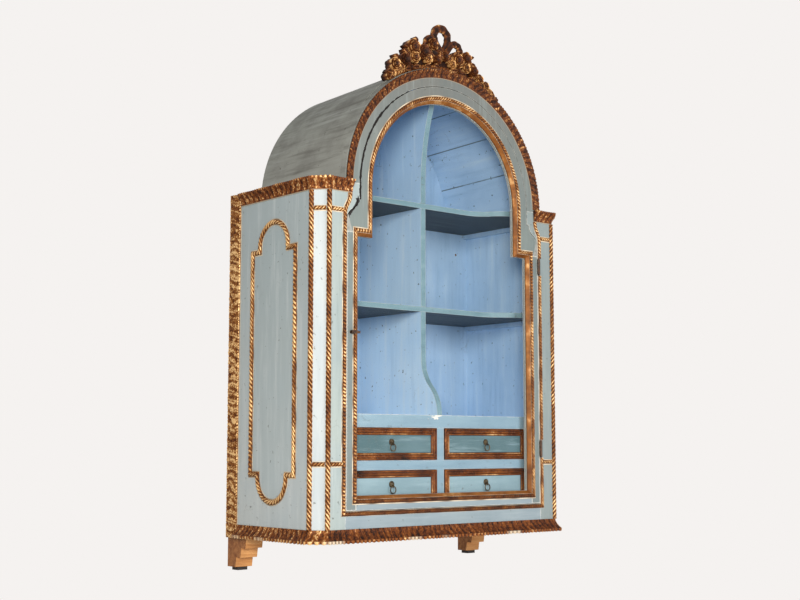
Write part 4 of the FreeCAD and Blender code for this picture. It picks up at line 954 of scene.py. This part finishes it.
def backStrips():
    look = stripLook
    across = np.linspace(-1, 1, 23)[None, :]
    low, high = look["low"], look["high"]
    stations = np.linspace(low, high, int((high - low) / look["step"]))[:, None]
    w = wander(stations)
    rim = np.exp(-((np.abs(across) - 0.9) / 0.1) ** 2) * tongueRow(w, look["rimPitch"])
    leaf = foliage(w + 5 * across, np.abs(across - 0.3 * np.sin(w / 19.0)), look["leafPitch"])
    h = np.clip(np.maximum(leaf, rim), 0, 1)
    bulge = 11 - 4 * across - 2 * across ** 2
    rows, middle, half = len(stations), stripFront / 2, look["half"]
    x = columns(rows, -sideX, -sideX - np.maximum(bulge - look["carve"] * (1 - h), 0.8), -sideX)
    y = columns(rows, half - middle, -middle - half * across, -half - middle)
    relief = columns(rows, 0.2, 0.27 + 0.9 * h, 0.2)
    bare = np.zeros_like(relief)
    bare[:, -1] = 0.8
    pile = newPile()
    addSkin(pile, pointGrid(x, y, stations), relief, bare)
    mirrorPile(pile)
    makePiece("backStripsCarved", pile, "case", gilt, ["back_strips"])


# Crest: carved garland of roses and leaves on a gadrooned band, with a ribbon bow in the middle.
# Flowers: way along the arch, height above it, radius. Leaves: way, height, length, lean from the arch.
crestLook = {
    "foot": 352.7, "half": 205.5, "back": -348.2, "face": -372, "front": -380.8, "headBack": -360.2,
    "roof": 347.1, "knot": (0, 1262.7, 15),
    "loop": {"centre": (-6, 1316.7), "radius": 25.5, "wide": 22.5, "deep": 15, "middle": -360.5},
    "bow": {"centre": (44, 1288.7), "radius": 18.5, "wide": 19.5, "deep": 13, "middle": -363},
    "left": {
        "flowers": ((27, 28, 14), (58, 29, 15), (68, 47, 22), (98, 62, 23), (102, 35, 17), (134, 34, 18),
                    (171, 31, 18), (203, 10, 12), (46, 36, 10), (84, 42, 9), (120, 48, 9), (152, 18, 10),
                    (188, 14, 9), (120, 10, 9), (14, 36, 10), (152, 38, 8), (37, 70, 17)),
        "leaves": ((10, 30, 26, 75), (45, 34, 28, 60), (80, 30, 28, 30), (84, 72, 18, 75), (118, 44, 24, 50),
                   (120, 8, 28, 0), (150, 14, 26, 5), (152, 42, 20, 45), (188, 20, 20, 10), (186, 6, 24, -8),
                   (90, 8, 28, 0), (50, 8, 26, 0), (20, 8, 24, 10), (112, 66, 16, 20), (160, 28, 20, 20)),
    },
    "right": {
        "flowers": ((25, 28, 14), (42, 42, 21), (68, 58, 20), (72, 33, 16), (98, 35, 17), (125, 25, 14),
                    (151, 20, 13), (198, 9, 10), (14, 34, 9), (56, 40, 8), (86, 44, 8), (112, 28, 9),
                    (138, 12, 9), (170, 13, 11), (184, 10, 10), (50, 14, 10)),
        "leaves": ((12, 30, 24, 70), (30, 50, 22, 55), (58, 36, 26, 50), (84, 48, 18, 20), (86, 8, 28, 0),
                   (112, 8, 26, 0), (112, 30, 20, 12), (138, 24, 20, 8), (140, 6, 26, -4), (166, 16, 20, -4),
                   (168, 4, 24, -8), (184, 8, 20, -10), (50, 8, 26, 4), (22, 8, 24, 10), (80, 66, 14, 35)),
    },
}


def onArch(way, lift):
    turn = math.pi / 2 - way / crestLook["foot"]
    reach = crestLook["foot"] + lift
    return reach * math.cos(turn), archSpring + reach * math.sin(turn)


# A rose: three rings of petals whose rims stand up, cut from one block with a flat back.
def addRose(pile, x, z, radius, seed):
    around, rings = (66, 17) if radius > 12 else (40, 12)
    turns = fullTurn(around)[None, :]
    twist = seed * 1.7
    rim = radius * (1 - 0.16 * (np.abs(((turns + twist) * 6 / (2 * math.pi)) % 1 - 0.5) * 2) ** 3)
    r = np.linspace(0.02, 1, rings)[:, None] * rim
    height = np.full((rings, around), 1.0)
    glow = np.full((rings, around), 0.12)
    petals = ((6, 1.0, 1.5, 6.0, 0.0), (5, 0.70, 5.0, 6.0, 0.9), (4, 0.42, 8.5, 3.5, 0.3))
    for count, reach, low, rise, offset in petals:
        near = (((turns + twist + offset) * count / (2 * math.pi)) % 1 - 0.5) * 2
        edge = reach * radius * (1 - 0.16 * np.abs(near) ** 3)
        part = np.clip(r / edge, 0, 1.4)
        inside = part <= 1.02
        cup = low + rise * part ** 2 - 1.6 * np.abs(near) ** 4
        lit = 0.14 + 1.0 * part ** 4 * (1 - 0.6 * np.abs(near) ** 2)
        take = inside & (cup > height)
        height = np.where(take, cup, height)
        glow = np.where(take, lit, glow)
    heart = 9.0 - (r / radius * 9) ** 2
    take = heart > height
    height, glow = np.where(take, heart, height), np.where(take, 0.6, glow)
    glow = glow * (1.0 + 0.35 * math.sin(seed * 2.4))   # some flowers kept more of their gold
    scale = min(1.0, radius / 18)
    py = np.maximum(crestLook["face"] + 3.0 - height * scale, crestLook["front"])
    front = pointGrid(x + r * np.cos(turns), py, z + r * np.sin(turns))
    back = pointGrid(x + rim * 0.96 * np.cos(turns), crestLook["back"], z + rim * 0.96 * np.sin(turns))
    addSkin(pile, np.concatenate([front, back]), np.concatenate([glow, np.zeros((1, around))]))


# A leaf with a mid rib, side veins and a saw edge; its tip curls forward.
def addLeaf(pile, x, z, length, angle):
    a = np.linspace(0.02, 0.99, 17)[:, None]
    b = np.linspace(-1, 1, 11)[None, :]
    wide = length * 0.30 * np.sin(math.pi * a ** 0.85) * (1 + 0.12 * np.abs(np.sin(a * 15)))
    along = a * length
    across = b * wide
    vein = np.exp(-(b / 0.12) ** 2)
    ribs = 0.5 + 0.5 * np.cos(2 * math.pi * (a * 5 + np.abs(b) * 0.9))
    height = 5.0 + 5.0 * np.sin(math.pi * a) * (1 - 0.55 * b ** 2) + 4.0 * a ** 2
    height = height - 2.2 * vein + 0.9 * ribs * np.abs(b)
    px = x + along * math.cos(angle) - across * math.sin(angle)
    pz = z + along * math.sin(angle) + across * math.cos(angle)
    py = np.maximum(crestLook["face"] + 6.0 - height, crestLook["front"])
    front = pointGrid(px, py, pz)
    glow = 0.14 + 0.9 * np.clip(0.55 * ribs + 0.45 * np.abs(b) - 0.5 * vein, 0, 1)
    low = pointGrid(px, crestLook["back"] - 4.0, pz)
    # front, then the same outline at the back, joined as one closed ring of columns
    ring = np.concatenate([front, low[:, ::-1]], axis=1)
    addSkin(pile, ring, np.concatenate([glow, np.zeros_like(glow)], axis=1))


# A ribbon loop: two tangents from the knot and a round end, with a groove down its middle.
def addRibbon(pile, knot, centre, look):
    radius, wide, deep = look["radius"], look["wide"], look["deep"]
    kx, kz = knot
    cx, cz = centre
    reach = math.hypot(kx - cx, kz - cz)
    toward = math.atan2(kz - cz, kx - cx)
    spread = math.acos(min(0.999, radius / reach))
    turns = np.linspace(toward + spread, toward + 2 * math.pi - spread, 60)
    arc = np.stack([cx + radius * np.cos(turns), cz + radius * np.sin(turns)], axis=-1)
    first = np.linspace((kx, kz), arc[0], 16)[:-1]
    last = np.linspace(arc[-1], (kx, kz), 16)[1:]
    path = np.concatenate([first, arc, last])
    tangent = np.gradient(path, axis=0)
    tangent /= np.linalg.norm(tangent, axis=1)[:, None]
    normal = np.stack([-tangent[:, 1], tangent[:, 0]], axis=-1)
    phi = fullTurn(26)[None, :]
    s = np.arange(len(path))[:, None]
    swell = 0.82 + 0.18 * np.sin(math.pi * s / (len(path) - 1))
    square = 0.72
    q = wide / 2 * np.sign(np.cos(phi)) * np.abs(np.cos(phi)) ** square * swell
    h = deep / 2 * np.sign(np.sin(phi)) * np.abs(np.sin(phi)) ** square
    h = h - np.where(h < 0, 0, 2.6 * np.exp(-(q / (0.16 * wide)) ** 2))
    h = h + 1.2 * np.sin(s * 0.55 + 0.6 * np.sign(q))
    px = path[:, 0][:, None] + normal[:, 0][:, None] * q
    pz = path[:, 1][:, None] + normal[:, 1][:, None] * q
    py = np.clip(look["middle"] - h, crestLook["front"], crestLook["back"])
    glow = np.clip(0.12 + 0.75 * (h > 0) * (np.abs(q) / (wide / 2)) ** 1.5 + 0.15 * np.sin(s * 0.55), 0, 1)
    addSkin(pile, pointGrid(px, py, pz), glow)


# Lifts what lies behind the arch head clear of the roof, which rises a little towards the front.
def clearRoof(points):
    x, y, z = points[:, 0], points[:, 1], points[:, 2]
    axis = archSpring - roofSlope * y
    reach = np.hypot(x, z - axis)
    grow = np.where(y > crestLook["headBack"], np.maximum(1.0, crestLook["roof"] / reach), 1.0)
    return pointGrid(x * grow, y, axis + (z - axis) * grow)


def crest():
    look = crestLook
    pile = newPile()
    curve = np.array([(0, 10), (3, 12), (6, 13.2), (9, 13), (12, 11), (14, 7)], float)
    out, proud = curve.T[:, None]
    half = math.degrees(look["half"] / look["foot"])
    run = ("arc", (0, archSpring), look["foot"], 90 - half, 90 + half)

    def band(s):
        stroke = tongueRow(s + 0.9 * out, 11.0)
        height = 24 - (13.5 - proud) - 3.0 * (1 - stroke)
        relief = columns(len(s), 0, 0.12 + 0.7 * stroke, 0)
        return columns(len(s), 0, -out, -13.5), columns(len(s), 0, height, 0), relief, np.zeros_like(relief)

    # the ground that the flowers stand on
    def ground(s):
        rise = 10 + 26 * np.clip(np.sin(math.pi * s / (2 * look["half"])), 0, 1) ** 0.8
        side = columns(len(s), 0, 0, -rise, -rise)
        return side, columns(len(s), 0, 14, 14, 0), np.zeros_like(side) + 0.1, np.zeros_like(side)

    for section, step in ((band, 1.4), (ground, 6.0)):
        sweepRun(pile, run, section, lambda u, v, h: (u, look["back"] - h, v), step)
    knotX, knotZ, knotR = look["knot"]
    loop, bow = look["loop"], look["bow"]
    addRibbon(pile, (knotX, knotZ), loop["centre"], loop)
    for way, side in ((-1, "left"), (1, "right")):
        addRibbon(pile, (knotX, knotZ), (way * bow["centre"][0], bow["centre"][1]), bow)
        for index, (reach, lift, radius) in enumerate(look[side]["flowers"]):
            x, z = onArch(way * reach, lift)
            addRose(pile, x, z, radius, index + 3 * way)
        for reach, lift, length, lean in look[side]["leaves"]:
            x, z = onArch(way * reach, lift)
            turn = math.radians(lean) - reach / look["foot"]
            addLeaf(pile, x, z, length, turn if way > 0 else math.pi - turn)
    addRose(pile, knotX, knotZ, knotR, 2.0)
    pile["points"] = [clearRoof(points) for points in pile["points"]]
    makePiece("crestGarland", pile, "case", giltDark, ["crest"])


# Drawers: a moulded frame with a thin gold bead, a cast rosette with an eye, and a ring that hangs in it.
drawerParts = {
    "rows": {"lower": (60.3, 141.2), "upper": (167.3, 250.2)},
    "bays": {"left": (-323.2, -14.3), "right": (14.3, 323.2)}, "plane": -346, "step": 6.0,
    "section": ((0, 0, 0), (0, 4.2, 0.25), (1.0, 5, 0.4), (4.8, 5, 0.42), (5.5, 3.9, 0.0), (6.3, 4.4, 0.3),
                (9, 3.6, 0.5), (12.5, 2.5, 0.36), (13.8, 1.9, 0.0), (14.4, 2.4, 0.5), (16.0, 2.7, 0.72),
                (17.6, 2.2, 0.45), (18.4, 1.0, 0.1), (19, 0.4, 0.0), (19, 0, 0)),
    "rosette": {"radius": 8.5, "lift": 5}, "eye": {"out": 7, "radius": 2.55, "wire": 0.95},
    "ring": {"radius": 9, "wire": 1.4},
}


def addTorus(pile, centre, radius, wire, across):
    turns = fullTurn(40)[:, None]
    phi = fullTurn(14)[None, :]
    reach = radius + wire * np.cos(phi)
    a, b, c = reach * np.cos(turns), reach * np.sin(turns), wire * np.sin(phi)
    x, y, z = (a, c, b) if across == "Y" else (c, a, b)
    addSkin(pile, pointGrid(centre[0] + x, centre[1] + y, centre[2] + z), 0.5, closed=True)


def addRosette(pile, x, y, z, radius):
    turns = fullTurn(64)[None, :]
    share = np.array([1.0, 1.0, 0.95, 0.88, 0.82, 0.74, 0.62, 0.5, 0.4, 0.34, 0.26, 0.14, 0.02])[:, None]
    rise = np.array([0, 1.0, 1.7, 1.8, 1.1, 1.2, 1.7, 1.9, 1.6, 2.6, 3.5, 3.9, 4.0])[:, None]
    petal = np.abs(np.cos(4 * turns)) * np.where((share < 0.8) & (share > 0.36), 0.8, 0.0)
    rope = np.abs(np.sin(16 * turns)) * np.where((share < 0.97) & (share > 0.85), 0.35, 0.0)
    r = radius * share
    addSkin(pile, pointGrid(x + r * np.cos(turns), y - rise - petal - rope, z + r * np.sin(turns)), 0.4)


def drawerFittings():
    look = drawerParts
    plane = look["plane"]
    shape = np.array(look["section"], float)
    eye, ring, rosette = look["eye"], look["ring"], look["rosette"]

    def section(s):
        side, height, relief = (columns(len(s), shape[None, :, k]) for k in range(3))
        relief = relief * (1 + 0.25 * np.sin(s / 37.0))
        return side, height, relief, np.zeros_like(relief)

    for row, (z0, z1) in look["rows"].items():
        for bay, (x0, x1) in look["bays"].items():
            name = "drawer_" + row + "_" + bay
            label = "drawer" + row.title() + bay.title()
            pile = newPile()
            at = 0.0
            for run in lineRuns([(x0, z0), (x1, z0), (x1, z1), (x0, z1)], closed=True):
                at = sweepRun(pile, run, section, lambda u, v, h: (u, plane - h, v), look["step"], at)
            makePiece(label + "Moulding", pile, name, giltWorn, [name + "_moulding"])
            x, z = (x0 + x1) / 2, (z0 + z1) / 2
            pile = newPile()
            addRosette(pile, x, plane, z + rosette["lift"], rosette["radius"])
            addTorus(pile, (x, plane - eye["out"], z), eye["radius"], eye["wire"], "X")
            makePiece(label + "Rosette", pile, name, pullBrass, [name + "_pull"])
            pile = newPile()
            addTorus(pile, (x, plane - eye["out"], z - ring["radius"]), ring["radius"], ring["wire"], "Y")
            makePiece(label + "Ring", pile, name + "_drop", pullBrass, [name + "_ring"])


cornerRopes()
sidePanelRopes()
openingRope()
doorRope()
cornice()
baseMoulding()
archMoulding()
backStrips()
crest()
drawerFittings()
